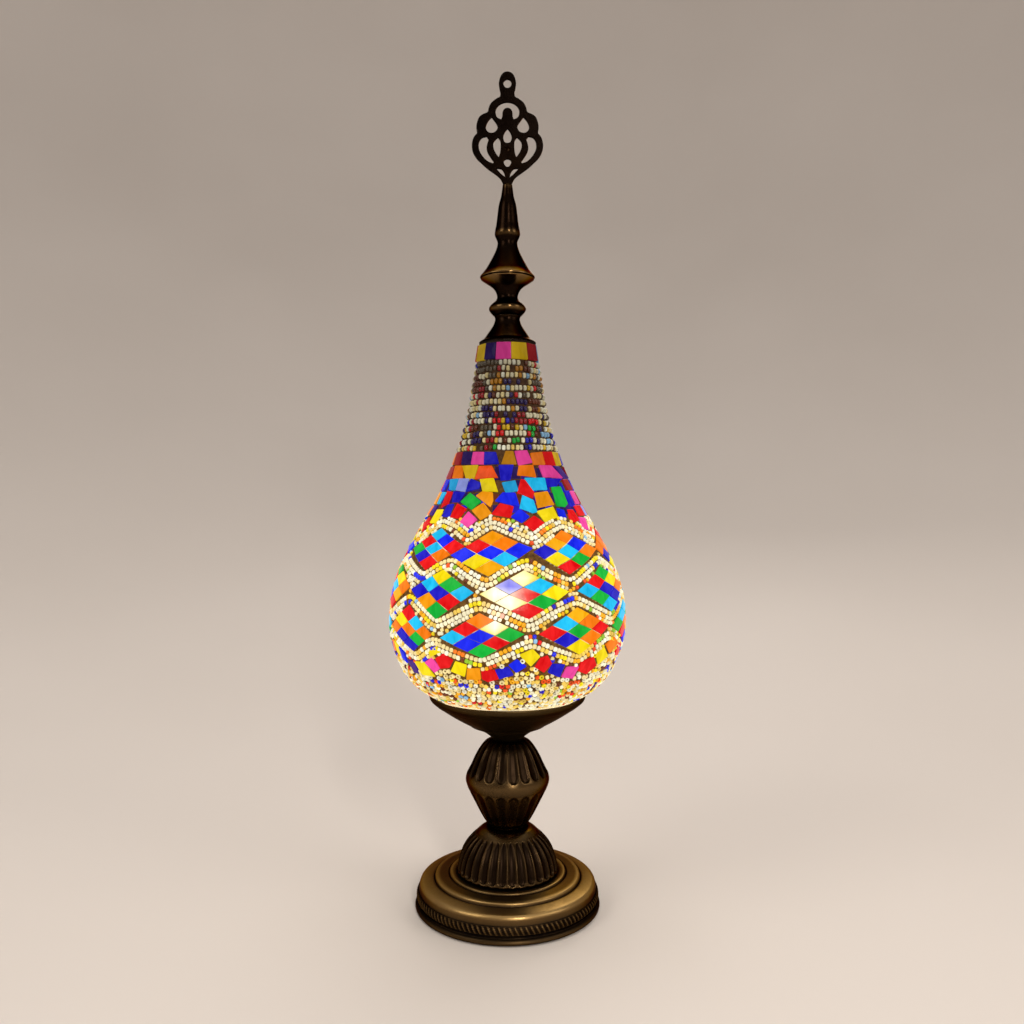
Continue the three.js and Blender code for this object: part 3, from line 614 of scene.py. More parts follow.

# lozenges, corners left, top, right, bottom; colours from the top edge down, three rows of three; a trailing * is a
# tile whitened by a painted highlight of the bulb
LOZ = [
    (1, [[-66.5, 263.4], [-45.32, 278.0], [-24.5, 266.9], [-45.57, 250.6]], "cyan blue red red cyan orange green dblue red"),
    (1, [[-30.53, 260.66], [-8.91, 276.93], [13.6, 265.61], [-8.92, 248.37]], "orange2 orange blue red blue cyan blue yell amber"),
    (1, [[14.6, 263.4], [35.07, 276.86], [58.6, 263.2], [32.3, 248.72]], "orange blue orange amber cyan green dblue yell red"),
    (1, [[60.4, 264.2], [79.5, 277.0], [101.3, 264.4], [79.0, 249.0]], "red red purple orange orange purple orange dblue yell"),
    (1, [[103.6, 264.0], [126.0, 277.2], [148.6, 264.6], [126.5, 248.8]], "cyan yell red blue orange green red cyan pink"),
    (1, [[151.0, 264.0], [173.5, 277.0], [196.0, 264.4], [174.0, 248.8]], "orange red cyan yell blue red green amber dblue"),
    (1, [[198.4, 264.2], [220.7, 277.2], [243.3, 264.8], [221.0, 248.8]], "blue orange yell cyan red blue amber green red"),
    (1, [[245.6, 264.0], [268.0, 277.0], [290.6, 264.4], [268.3, 248.8]], "red yell blue orange cyan red dblue orange2 cyan"),
    (2, [[-95.5, 237.2], [-74.6, 251.6], [-54.2, 238.4], [-74.0, 221.0]], "green yell orange red cyan amber orange2 blue red"),
    (2, [[-51.85, 236.86], [-32.98, 251.22], [-15.6, 237.54], [-33.22, 219.5]], "yell green cyan cyan dblue red dblue orange2 green"),
    (2, [[-12.07, 236.71], [8.21, 251.5], [29.38, 237.38], [9.51, 221.08]], "yell* cyan yell blue* red* green yell* yell* red"),
    (2, [[35.2, 237.47], [55.6, 251.7], [77.5, 237.8], [57.2, 221.65]], "green yell orange red dblue dblue cyan green cyan"),
    (2, [[80.4, 237.2], [101.0, 251.6], [122.4, 237.8], [101.6, 221.4]], "cyan orange red yell green blue orange2 cyan dblue"),
    (2, [[125.8, 237.2], [147.0, 251.6], [168.5, 237.8], [147.4, 221.4]], "red blue yell* orange cyan red* green amber blue"),
    (2, [[171.8, 237.2], [193.0, 251.6], [214.6, 237.8], [193.3, 221.4]], "orange2 green cyan red yell* blue cyan white* orange"),
    (2, [[217.8, 237.2], [239.0, 251.6], [260.5, 237.8], [239.4, 221.4]], "blue red green amber cyan orange yell* dblue red"),
    (3, [[-69.5, 209.8], [-51.5, 226.2], [-35.6, 208.6], [-48.6, 195.8]], "red cyan orange yell orange green orange dblue dblue"),
    (3, [[-30.34, 207.32], [-12.09, 224.46], [7.28, 211.32], [-10.87, 195.6]], "orange yell* green red blue red cyan blue green"),
    (3, [[14.22, 211.0], [33.22, 226.7], [52.84, 211.93], [34.41, 195.8]], "amber orange red cyan green orange red dblue yell"),
    (3, [[57.5, 211.4], [77.0, 226.4], [97.6, 211.4], [77.4, 195.6]], "cyan green orange cyan orange yell green red blue"),
    (3, [[103.8, 211.2], [124.5, 226.4], [145.2, 211.4], [125.0, 195.6]], "yell red blue orange cyan amber blue green red"),
    (3, [[151.2, 211.2], [172.0, 226.4], [192.8, 211.4], [172.5, 195.6]], "cyan amber red green orange* blue red yell cyan"),
    (3, [[198.8, 211.2], [219.5, 226.4], [240.3, 211.4], [220.0, 195.6]], "orange blue green yell red cyan dblue orange2 red"),
    (3, [[246.4, 211.2], [267.0, 226.4], [287.6, 211.4], [267.5, 195.6]], "red orange cyan dblue yell green amber red blue"),
]

# turning points of the four bead strands round the net, (deg, z)
W = {
    0: [(-57.6, 276.9), (-47.9, 282.3), (-33.5, 278.2), (-23.3, 271.6), (-16.3, 277.2), (-9.4, 282.1), (3.5, 276.0), (15.1, 269.8), (25.2, 277.1), (37.2, 281.8), (50.5, 277.1), (59.4, 269.5),
        (79.5, 282.2), (102.5, 270.0), (126, 282.4), (149.8, 270.0), (173.5, 282.2), (197.2, 270.0), (220.7, 282.4), (244.5, 270.0), (268, 282.2), (291.5, 270.0)],
    1: [(-45.6, 245.4), (-37.4, 253.2), (-29.4, 257.2), (-17.7, 248.5), (-9.1, 243.0), (-0.9, 251.2), (10.6, 257.7), (20.9, 249.0), (32.0, 242.6), (43.2, 250.2), (57.8, 257.3), (79, 243.2),
        (101.3, 257.6), (126.5, 243.2), (148.2, 257.6), (174, 243.2), (194.5, 257.6), (221, 243.2), (241.6, 257.6), (268.3, 243.2), (287.8, 257.6)],
    2: [(-52.2, 231.6), (-41.2, 223.0), (-33.1, 215.1), (-22.2, 223.6), (-12.7, 230.1), (-1.7, 225.0), (9.5, 217.3), (20.5, 226.2), (33.1, 232.3), (44.6, 224.5), (57.0, 217.0), (78.2, 232.0),
        (101.6, 215.8), (124.1, 232.0), (147.4, 215.8), (170.8, 232.0), (193.3, 215.8), (217, 232.0), (239.4, 215.8), (265, 232.0), (286, 215.6)],
    3: [(-47.5, 190.8), (-34.9, 202.1), (-22.3, 196.3), (-11.5, 191.1), (0.1, 198.8), (10.7, 206.0), (21.8, 198.4), (35.0, 191.2), (43.1, 199.4), (54.0, 206.0), (77.4, 190.4), (100.6, 205.4),
        (125, 190.4), (148, 205.4), (172.5, 190.4), (195.7, 205.4), (220, 190.4), (243.4, 205.4), (267.5, 190.4), (289.6, 204.6)],
}


def wave(k, deg):
    """Height of strand k at an angle: a zigzag with its corners rounded off."""
    p = np.array(W[k])
    xs = np.concatenate([p[:, 0] - 360, p[:, 0], p[:, 0] + 360])
    zs = np.tile(p[:, 1], 3)
    deg = np.asarray(deg, float)
    acc = 0
    for o, w in ((-3.2, 1), (-1.6, 2), (0, 2.4), (1.6, 2), (3.2, 1)):
        acc = acc + w * np.interp(deg + o, xs, zs)
    return acc / 8.4


shoulder, collar, lower, net = Batch(), Batch(), Batch(), Batch()

for row in "ABCDE":
    for colour, pts in TILES[row]:
        tile(shoulder, pts, colour, gap=-0.42, rho=0.6, gain=1.04)
for row in "FX":
    for colour, pts in TILES[row]:
        tile(lower, pts, colour, gap=-0.32, rho=0.6)

LIGHT_LEAK_OUTLINES = []  # lozenge outlines, where painted light shows as bright lines between the tiles
for row, (a, b, c, d), colours in LOZ:
    a, b, c, d = map(np.array, (a, b, c, d))
    o = (a + b + c + d) / 4
    a, b, c, d = (o + (x - o) * 1.035 for x in (a, b, c, d))
    at = lambda u, v: (1 - u) * (1 - v) * a + u * (1 - v) * b + u * v * c + (1 - u) * v * d
    LIGHT_LEAK_OUTLINES.append(np.array([at(0.03, 0.03), at(0.97, 0.03), at(0.97, 0.97), at(0.03, 0.97)]))
    POLYS.append(np.array([a, b, c, d]))
    names = colours.split()
    jit = rng.normal(0, 0.012, (4, 4, 2))
    knots = [[at(i / 3 + (jit[i, j, 0] if 0 < i < 3 else 0), j / 3 + (jit[i, j, 1] if 0 < j < 3 else 0)) for j in range(4)] for i in range(4)]
    for n, name in enumerate(names):
        i, j = 2 - n // 3, n % 3
        bulb_glare_amount = 0.06
        if name.endswith("*"):
            name = name[:-1]
            bulb_glare_amount = {"blue": 0.62, "red": 0.66}.get(name, 1.0)
        tile(net, [knots[i][j], knots[i + 1][j], knots[i + 1][j + 1], knots[i][j + 1]], name, gap=0.25, rho=0.3, keep=False, tilt=0.008,
             gain=1.08, hot=bulb_glare_amount)

# dark pieces set a little deeper, seen only in the gaps between the shoulder's tiles
DARK = ["navy"] * 5 + ["dblue"] * 2 + ["purple"] + ["brown"] * 3
for zlo, zhi, width in ((288.6, 294.6, 6.4), (295.0, 302.4, 6.0), (302.8, 310.6, 5.6), (311.0, 320.4, 6.2)):
    n = round(2 * math.pi * float(R((zlo + zhi) / 2)) / width)
    e = (np.arange(n + 1) + rng.random()) * 360.0 / n
    for e0, e1 in zip(e[:-1], e[1:]):
        if rng.random() < 0.22:
            continue
        t = rng.normal(0, 0.4, 4)
        tile(shoulder, [[e0, zhi + t[0]], [e1, zhi + t[1]], [e1, zlo + t[2]], [e0, zlo + t[3]]], DARK[rng.integers(len(DARK))], gap=0.3, rho=0.4, sunk=1.0, keep=False, tilt=0.03, thick=1.3)

# the back of the shoulder rows, the same way as the front
MIXED = ["red", "dblue", "yell", "orange", "pink", "cyan", "green", "blue", "orange2", "dred", "cyand", "lav", "purple", "red", "blue", "yell"]


def ring_of_tiles(batch, lo, hi, zlo, zhi, width, jitter=0.5, skip=0.06, rho=0.8):
    mid = (zlo + zhi) / 2
    n = max(1, round(math.radians(hi - lo) * float(R(mid)) / width))
    edges = np.linspace(lo, hi, n + 1)
    step = (hi - lo) / n
    edges[1:-1] += rng.normal(0, 0.12 * step, n - 1)
    last = None
    for e0, e1 in zip(edges[:-1], edges[1:]):
        if rng.random() < skip:
            continue
        colour = MIXED[rng.integers(len(MIXED))]
        while colour == last:
            colour = MIXED[rng.integers(len(MIXED))]
        last = colour
        g = 0.035 * step
        s = rng.normal(0, 0.07 * step, 4)
        t = rng.normal(0, jitter, 4) * 0.6
        tile(batch, [[e0 + g + max(s[0], -g), zhi + min(t[0], 0)], [e1 - g + min(s[1], g), zhi + min(t[1], 0)],
                     [e1 - g + min(s[2], g), zlo + max(t[2], 0)], [e0 + g + max(s[3], -g), zlo + max(t[3], 0)]], colour, gap=-0.1, rho=rho)


ring_of_tiles(shoulder, 74.5, 286.0, 322.3, 331.0, 9.4)
ring_of_tiles(shoulder, 78.0, 277.0, 312.7, 321.3, 10.0)
ring_of_tiles(shoulder, 77.0, 295.0, 303.9, 311.8, 10.4)
ring_of_tiles(shoulder, 79.0, 298.5, 294.4, 303.0, 10.6)
ring_of_tiles(shoulder, 73.0, 296.0, 286.6, 293.6, 10.6)
for a in (102.5, 149.8, 197.2, 244.5, 291.5):
    tile(shoulder, [[a, 285.6], [a + 6.2, 280.4], [a, 274.6], [a - 6.2, 280.4]], ["pink", "red", "blue", "yell", "green"][int(a) % 5], gap=0.15)

# the back of the lower row, under the net's last strand
edges = np.linspace(74.0, 302.5, 42)
for e0, e1 in zip(edges[:-1], edges[1:]):
    za, zb = float(wave(3, e0 + 0.3)) - 3.9, float(wave(3, e1 - 0.3)) - 3.9
    tilt = (zb - za) * 0.55
    tile(lower, [[e0 + 0.25, za], [e1 - 0.25, zb], [e1 - 0.25 - 0.22 * tilt, zb - 8.6], [e0 + 0.25 - 0.22 * tilt, za - 8.6]],
         MIXED[rng.integers(len(MIXED))], gap=0.2)

# one row at the top of the neck
edges = [-78.0, -46.5, -21.7, 7.1, 39.3, 71.0, 104.0, 138.0, 172.0, 206.0, 241.0, 282.0]
names = ["yelld", "navy", "pink", "yelld", "dred", "cyand", "orange", "dblue", "green", "yelld", "red"]
for colour, e0, e1 in zip(names, edges[:-1], edges[1:]):
    t = rng.uniform(-0.3, 0.3, 2)
    tile(collar, [[e0 + 0.9, 409.05], [e1 - 0.9, 409.0], [e1 - 0.8, 396.9 + t[0]], [e0 + 0.8, 396.9 + t[1]]], colour, gap=0.0, rho=0.5, gain=1.25, sunk=0.85)


# ------------------------------------------------------------------ beads
def revolve_template(xr, segs, cap):
    xr = np.asarray(xr, float)
    a = np.arange(segs) * 2 * np.pi / segs
    v = np.stack([np.repeat(xr[:, 0:1], segs, 1), xr[:, 1:2] * np.cos(a), xr[:, 1:2] * np.sin(a)], -1).reshape(-1, 3)
    n = len(xr)
    rows = n - 1 if cap else n
    i, j = np.meshgrid(np.arange(rows), np.arange(segs), indexing="ij")
    i2, j2 = (i + 1) % n, (j + 1) % segs
    quads = np.stack([i * segs + j, i * segs + j2, i2 * segs + j2, i2 * segs + j], -1).reshape(-1, 4)
    tris = np.zeros((0, 3), int)
    if cap:
        v = np.vstack([v, [[xr[0, 0] + 0.02, 0, 0], [xr[-1, 0] - 0.02, 0, 0]]])
        k = np.arange(segs)
        k2 = (k + 1) % segs
        tris = np.concatenate([np.stack([k2, k, np.full(segs, n * segs)], -1),
                               np.stack([(n - 1) * segs + k, (n - 1) * segs + k2, np.full(segs, n * segs + 1)], -1)])
    return v, quads, tris


BARREL = revolve_template([(-0.5, 0.45), (-0.43, 0.80), (-0.2, 1.0), (0.2, 1.0), (0.43, 0.80), (0.5, 0.45)], 8, True)
RING = revolve_template([(-0.5, 0.66), (-0.36, 0.92), (0.0, 1.0), (0.36, 0.92), (0.5, 0.66), (0.36, 0.42), (-0.36, 0.42)], 12, False)


def add_beads(batch, P, N, A, length, radius, cols, gain=1.0, shape=BARREL, floor=0.30, thread=0.0, fall=(0.55, 0.62, 1.4), ends=0.55):
    """Beads centred at P with their string along A; N is the globe's outward normal there."""
    V, Q, T = shape
    A = A / np.linalg.norm(A, axis=1, keepdims=True)
    B = N - A * (N * A).sum(1, keepdims=True)
    nb = np.linalg.norm(B, axis=1, keepdims=True)
    alt = np.cross(A, np.array([0.0, 0.0, 1.0]) + 0.01)
    B = np.where(nb > 0.05, B / np.maximum(nb, 1e-6), alt / np.linalg.norm(alt, axis=1, keepdims=True))
    C = np.cross(A, B)
    m, k = len(P), len(V)
    L, r = np.broadcast_to(length, m)[:, None], np.broadcast_to(radius, m)[:, None]
    v = (P[:, None] + (V[None, :, 0] * L)[..., None] * A[:, None] + (V[None, :, 1] * r)[..., None] * B[:, None]
         + (V[None, :, 2] * r)[..., None] * C[:, None])
    gain = np.broadcast_to(gain, m)
    # painted shade: each bead's glow dims towards its sides and its ends, so it reads as round and darker where beads
    # meet
    lift = ((v - P[:, None]) * N[:, None]).sum(-1) / np.maximum(r, 1e-6)
    lum = floor + (1 - floor) * np.clip(fall[0] + fall[1] * lift, 0, 1) ** fall[2]
    if len(T):
        lum = lum * np.interp(np.abs(V[:, 0]), [0.2, 0.43, 0.5], [1.0, 0.9, ends])[None]
    if thread:
        lum = lum * (1 - thread * (V[None, :, 1] > 0.72) * (np.abs(V[None, :, 2]) < 0.2))
    g = light_at(P, N) * gain
    off = (np.arange(m) * k)[:, None, None]
    batch.add(v.reshape(-1, 3), (Q[None] + off).reshape(-1, 4), (T[None] + off).reshape(-1, 3) if len(T) else None,
              Col=np.repeat(cols, k, 0), glow=(g[:, None] * lum).reshape(-1), hot=np.repeat(painted_bulb_glare(P) * 0.8, k))


BEAD_MIX = (["cream"] * 34 + ["white"] * 16 + ["ivory"] * 20 + ["straw"] * 12 + ["yell"] * 6 + ["amber"] * 6 + ["orange"] * 2
            + ["blue"] * 2 + ["dblue"] + ["orred"] * 2 + ["red"] + ["lblue"] * 2 + ["lime"] * 2 + ["brown"] * 2)
NECK_MIX = (["cream"] * 44 + ["white"] * 20 + ["ivory"] * 18 + ["straw"] * 5 + ["yelld"] * 2 + ["amberd"] * 2 + ["navy"] * 3
            + ["dblue"] * 2 + ["red"] * 2 + ["dred"] * 2 + ["brown"] * 4 + ["green"] + ["lblue"] * 2 + ["clear"] * 5)


FOOT_MIX = (["cream"] * 34 + ["white"] * 10 + ["ivory"] * 34 + ["straw"] * 20 + ["yell"] * 7 + ["amber"] * 8 + ["orange"] * 4
            + ["blue"] * 2 + ["dblue"] + ["purple"] + ["orred"] * 4 + ["red"] * 2 + ["lblue"] * 2 + ["lime"] * 2 + ["brown"] * 6)


def bead_colours(n, mix, run=0.30):
    out, last = [], None
    for _ in range(n):
        if last is None or rng.random() > run:
            last = mix[rng.integers(len(mix))]
        out.append(PAL[last] * rng.uniform(0.82, 1.04))
    return np.array(out)


net_beads, neck_beads, foot_beads = Batch(), Batch(), Batch()

STRANDS = []  # (deg, z) along every strand's centre
for k in range(4):
    deg = np.arange(-66, 294, 0.25)
    z = wave(k, deg)
    Pc, Nc = surf(deg, z)
    T = np.roll(Pc, -1, 0) - np.roll(Pc, 1, 0)
    T[0], T[-1] = T[1], T[-2]
    T /= np.linalg.norm(T, axis=1, keepdims=True)
    S = np.cross(Nc, T)
    STRANDS.append(Pc[::2])
    for side in (-1, 1):
        line = Pc + S * side * 1.76
        lz = line[:, 2]
        ld = np.degrees(np.arctan2(line[:, 0], -line[:, 1]))
        line, ln = surf(ld, lz)
        closed = np.vstack([line, line[:1]])
        cum = np.concatenate([[0], np.cumsum(np.linalg.norm(np.diff(closed, axis=0), axis=1))])
        n = int(cum[-1] / 3.0)
        s = (np.arange(n) + 0.5) * cum[-1] / n + rng.normal(0, 0.10, n)
        P = np.stack([np.interp(s, cum, closed[:, c]) for c in range(3)], -1)
        A = np.stack([np.interp(s + 0.6, cum, closed[:, c]) - np.interp(s - 0.6, cum, closed[:, c]) for c in range(3)], -1)
        pd = np.degrees(np.arctan2(P[:, 0], -P[:, 1]))
        rad = rng.uniform(1.64, 1.84, n)
        Q, N = surf(pd, P[:, 2], -rad - rng.uniform(0.0, 0.25, n))
        A = A / np.linalg.norm(A, axis=1, keepdims=True) + rng.normal(0, 0.07, (n, 3))
        keep = rng.random(n) > 0.012
        add_beads(net_beads, Q[keep], N[keep], A[keep], rng.uniform(2.6, 2.95, n)[keep], rad[keep], bead_colours(n, BEAD_MIX)[keep], floor=0.42, gain=1.04)

# neck: strings laid round it, row on row, with patches of one colour running over several rows
PATCH = [(rng.uniform(-180, 180), rng.uniform(332, 396), rng.uniform(2.5, 6.5), c) for c in
         ["navy", "dblue", "red", "dred", "brown", "yelld", "amberd", "green", "navy", "brown", "dred", "navy", "yelld", "lblue", "clear", "clear"] * 4]
PATCH += [(-31, 359, 6.5, "navy"), (6, 366, 5.5, "navy"), (5, 357, 5.0, "navy"), (-62, 380, 9.0, "brown"), (-45, 374, 5.0, "dred"), (-3, 364, 2.5, "red"), (-14, 352, 3.5, "red"),
          (-10, 346, 3.2, "red"), (33, 347, 5.0, "green"), (14, 350, 3.0, "yelld"), (-48, 345, 5.0, "brown"), (-40, 341, 4.5, "navy"), (25, 337, 4.0, "dblue"), (45, 365, 6.0, "brown"),
          (24, 389, 5.5, "amberd"), (35, 391, 5.0, "brown"), (-30, 391, 7.5, "clear"), (-52, 394, 7.0, "clear"), (0, 380, 3.5, "navy"), (18, 380, 3.0, "navy"), (58, 380, 6.0, "clear"),
          (46, 333, 4.0, "yelld"), (27, 343, 3.5, "red"), (12, 339, 4.0, "green")]
rows = 14
for k in range(rows):
    z = 334.1 + (394.6 - 334.1) * k / (rows - 1) + rng.normal(0, 0.15)
    r0 = float(R(z))
    n = int(2 * math.pi * (r0 - 1.6) / 3.12)
    deg = (np.arange(n) + rng.random()) * 360.0 / n + rng.normal(0, 0.35, n)
    deg = (deg + 180) % 360 - 180
    zz = z + 0.3 * np.sin(np.radians(deg * 2 + 40 * k)) + rng.normal(0, 0.2, n)
    rad = rng.uniform(1.95, 2.2, n)
    P, N = surf(deg, zz, -rad - rng.uniform(0.0, 0.25, n))
    A = np.stack([np.cos(np.radians(deg)), np.sin(np.radians(deg)), np.zeros(n)], -1) + rng.normal(0, 0.08, (n, 3))
    names = [NECK_MIX[rng.integers(len(NECK_MIX))] for _ in range(n)]
    for a, pz, reach, c in PATCH:
        x = np.radians((deg - a + 180) % 360 - 180) * r0
        d = np.hypot(x, zz - pz) / reach
        for q in np.flatnonzero(d < rng.uniform(0.7, 1.05, n)):
            names[q] = c
    cols = np.array([PAL[c] * rng.uniform(0.84, 1.04) for c in names])
    keep = rng.random(n) > 0.035
    # the neck's glow painted stronger low down, fading towards the top
    add_beads(neck_beads, P[keep], N[keep], A[keep], rng.uniform(2.45, 2.8, n)[keep], rad[keep], cols[keep], gain=np.interp(P[keep][:, 2], [334, 352, 396], [1.42, 1.34, 1.02]) * rng.uniform(0.86, 1.06, keep.sum()), floor=0.07, thread=0.45, fall=(0.12, 1.0, 1.5), ends=0.3)


def clear_of(deg, z, margin, strand=True, near=4.75):
    """True where a bead keeps its distance from every tile and strand."""
    ok = np.ones(len(deg), bool)
    r = R(z)
    for p in POLYS:
        dx = (deg[:, None] - p[None, :, 0] + 180) % 360 - 180
        x = np.radians(dx) * r[:, None]
        y = z[:, None] - p[None, :, 1]
        by_tile = (np.abs(x).min(1) < 45) & (np.abs(y).min(1) < 40)
        if not by_tile.any():
            continue
        x, y = x[by_tile], y[by_tile]
        inside = np.zeros(len(x), bool)
        dist = np.full(len(x), 1e9)
        m = p.shape[0]
        for i in range(m):
            j = (i + 1) % m
            ax, ay, bx, by = -x[:, i], -y[:, i], -x[:, j], -y[:, j]
            ex, ey = bx - ax, by - ay
            t = np.clip(-(ax * ex + ay * ey) / np.maximum(ex * ex + ey * ey, 1e-9), 0, 1)
            dist = np.minimum(dist, np.hypot(ax + t * ex, ay + t * ey))
            cross = ((ay > 0) != (by > 0)) & (0 < (bx - ax) * (0 - ay) / np.where(by == ay, 1e-9, by - ay) + ax)
            inside ^= cross
        bad = inside | (dist < margin)
        idx = np.flatnonzero(by_tile)
        ok[idx[bad]] = False
    if strand:
        P, _ = surf(deg, z)
        for line in STRANDS:
            d = np.linalg.norm(P[:, None] - line[None], axis=2).min(1)
            ok &= d > near
    return ok


def packed(zlo, zhi, pitch, taken):
    """Points packed like loose beads between two heights, in rings about a pitch apart with some scatter."""
    pts = []
    z = zlo
    for _ in range(200):
        s = (float(R(z + 0.4)) - float(R(z - 0.4))) / 0.8
        n = int(2 * math.pi * float(R(z)) / pitch)
        deg = (np.arange(n) + rng.random()) * 360 / n + rng.normal(0, 0.14 * 360 / n, n)
        pts.append(np.stack([deg, np.full(n, z) + rng.normal(0, 0.12 * pitch, n) / math.sqrt(1 + s * s)], -1))
        z += 0.93 * pitch / math.sqrt(1 + s * s)
        if z > zhi:
            break
    return np.concatenate(pts)


# loose beads: all round the foot of the globe, up to the lower row and into its dips
c = packed(156.0, 204.0, 3.5, None)
c = c[(c[:, 1] < wave(3, c[:, 0]) - 6) & clear_of(c[:, 0], c[:, 1], 1.15)]
n = len(c)
ring = rng.random(n) < 0.6
rad = rng.uniform(1.6, 1.88, n)
P, N = surf(c[:, 0], c[:, 1], -rad * np.where(ring, 0.62, 1.0) - 0.1)
side = np.stack([np.cos(np.radians(c[:, 0])), np.sin(np.radians(c[:, 0])), np.zeros(n)], -1)
spin = rng.uniform(0, 2 * np.pi, n)
flat = side * np.cos(spin)[:, None] + np.cross(N, side) * np.sin(spin)[:, None]
A = np.where(ring[:, None], N + flat * rng.uniform(0, 0.45, (n, 1)), flat + N * rng.uniform(-0.2, 0.3, (n, 1)))
cols = bead_colours(n, FOOT_MIX, 0.12)
add_beads(foot_beads, P[ring], N[ring], A[ring], rng.uniform(1.7, 2.0, ring.sum()), rad[ring], cols[ring], shape=RING, floor=0.22, gain=1.06, fall=(0.46, 0.85, 1.4))
add_beads(foot_beads, P[~ring], N[~ring], A[~ring], rng.uniform(2.4, 2.9, (~ring).sum()), rad[~ring], cols[~ring], floor=0.28, gain=1.06, fall=(0.5, 0.75, 1.4))

# odd beads that fill the channels of the net, leaving the bed bare under most lozenges
for row, (a, b, c, d), colours in LOZ:
    if rng.random() < 0.8:
        POLYS.append(np.array([a, [(a[0] + c[0]) / 2, (a[1] + c[1]) / 2], c, [c[0], c[1] - 3.0], [d[0], d[1] - 3.6], [a[0], a[1] - 3.0]]))
third = []
for k in range(4):
    deg = np.arange(-66, 294, 0.25)
    Pc, Nc = surf(deg, wave(k, deg))
    T = np.roll(Pc, -1, 0) - np.roll(Pc, 1, 0)
    T[0], T[-1] = T[1], T[-2]
    T /= np.linalg.norm(T, axis=1, keepdims=True)
    for side in (-1, 1):
        line = Pc + np.cross(Nc, T) * side * 4.7
        line, ln = surf(np.degrees(np.arctan2(line[:, 0], -line[:, 1])), line[:, 2])
        cum = np.concatenate([[0], np.cumsum(np.linalg.norm(np.diff(line, axis=0), axis=1))])
        n = int(cum[-1] / 2.9)
        sd = (np.arange(n) + 0.5) * cum[-1] / n + rng.normal(0, 0.15, n)
        P = np.stack([np.interp(sd, cum, line[:, c]) for c in range(3)], -1)
        A = np.stack([np.interp(sd + 0.6, cum, line[:, c]) - np.interp(sd - 0.6, cum, line[:, c]) for c in range(3)], -1)
        pd = np.degrees(np.arctan2(P[:, 0], -P[:, 1]))
        keep = clear_of(pd, P[:, 2], 0.75, near=4.45) & (rng.random(n) > 0.12)
        if keep.any():
            P, A, pd = P[keep], A[keep], pd[keep]
            n = len(P)
            rad = rng.uniform(1.18, 1.42, n)
            Q, N = surf(pd, P[:, 2], -rad - 0.1)
            add_beads(net_beads, Q, N, A, rng.uniform(2.3, 2.7, n), rad, bead_colours(n, BEAD_MIX, 0.25), floor=0.42)
            third.append(P)
third = np.concatenate(third)
c = packed(189.0, 286.0, 2.55, None)
far = np.array([np.linalg.norm(third - q, axis=1).min() for q in surf(c[:, 0], c[:, 1])[0]]) > 2.5
c = c[far]
c = c[(c[:, 1] > wave(3, c[:, 0]) - 1) & (c[:, 1] < wave(0, c[:, 0]) + 1) & clear_of(c[:, 0], c[:, 1], 0.9, near=4.35)]
n = len(c)
rad = rng.uniform(1.2, 1.5, n)
P, N = surf(c[:, 0], c[:, 1], -rad - 0.15)
side = np.stack([np.cos(np.radians(c[:, 0])), np.sin(np.radians(c[:, 0])), np.zeros(n)], -1)
add_beads(net_beads, P, N, side + rng.normal(0, 0.5, (n, 3)), rng.uniform(2.2, 2.6, n), rad, bead_colours(n, BEAD_MIX, 0.2), floor=0.45)

# loose beads between the net's first strand and the tiles above it
c = packed(268.0, 292.0, 2.9, None)
w0 = wave(0, c[:, 0])
c = c[(c[:, 1] > w0 + 3.0) & (c[:, 1] < w0 + 9.5) & clear_of(c[:, 0], c[:, 1], 1.3)]
n = len(c)
rad = rng.uniform(1.3, 1.5, n)
P, N = surf(c[:, 0], c[:, 1], -rad - 0.1)
side = np.stack([np.cos(np.radians(c[:, 0])), np.sin(np.radians(c[:, 0])), np.zeros(n)], -1)
add_beads(net_beads, P, N, side + rng.normal(0, 0.5, (n, 3)), rng.uniform(2.3, 2.6, n), rad, bead_colours(n, BEAD_MIX, 0.3), floor=0.45)

place(shoulder.build("shoulder_tiles", M_TILE), "shade", "tile_glass", "shoulder_tile_band")
place(collar.build("collar_tiles", M_TILE), "shade", "tile_glass", "collar_tile_row")
place(lower.build("lower_row_tiles", M_TILE), "shade", "tile_glass", "lower_tile_row")
place(net.build("lozenge_tiles", M_TILE), "shade", "tile_glass", "lozenge_net_band")
place(net_beads.build("net_bead_strands", M_BEAD), "shade", "bead_glass")
place(neck_beads.build("neck_bead_strings", M_BEAD), "shade", "bead_glass", "neck_bead_band")
place(foot_beads.build("foot_loose_beads", M_BEAD), "shade", "bead_glass", "foot_bead_band")

# ------------------------------------------------------------------ grout bed
zs = np.concatenate([np.arange(154.6, 333.0, 1.55), np.arange(333.0, 409.4, 1.9), [409.4]])
segs = 360
deg = np.arange(segs) * 360.0 / segs
D, Zg = np.meshgrid(deg, zs)
depth = -1.35 + 0.14 * np.sin(D * 0.9 + Zg * 1.3) * np.sin(Zg * 0.8) + rng.normal(0, 0.07, D.shape)
depth = np.where(Zg > 332.6, -2.05, depth)
P, N = surf(D, Zg, depth)
light_leak = np.zeros(D.size)
dd, zz = D.ravel(), Zg.ravel()
for p in LIGHT_LEAK_OUTLINES:
    x = (dd[:, None] - p[None, :, 0] + 180) % 360 - 180
    y = zz[:, None] - p[None, :, 1]
    near = (np.abs(x).min(1) < 30) & (np.abs(y).min(1) < 20)
    x, y = x[near], y[near]
    inside = np.zeros(len(x), bool)
    for i in range(4):
        j = (i + 1) % 4
        ax, ay, bx, by = -x[:, i], -y[:, i], -x[:, j], -y[:, j]
        inside ^= ((ay > 0) != (by > 0)) & (0 < (bx - ax) * (0 - ay) / np.where(by == ay, 1e-9, by - ay) + ax)
    light_leak[np.flatnonzero(near)[inside]] = 1.0
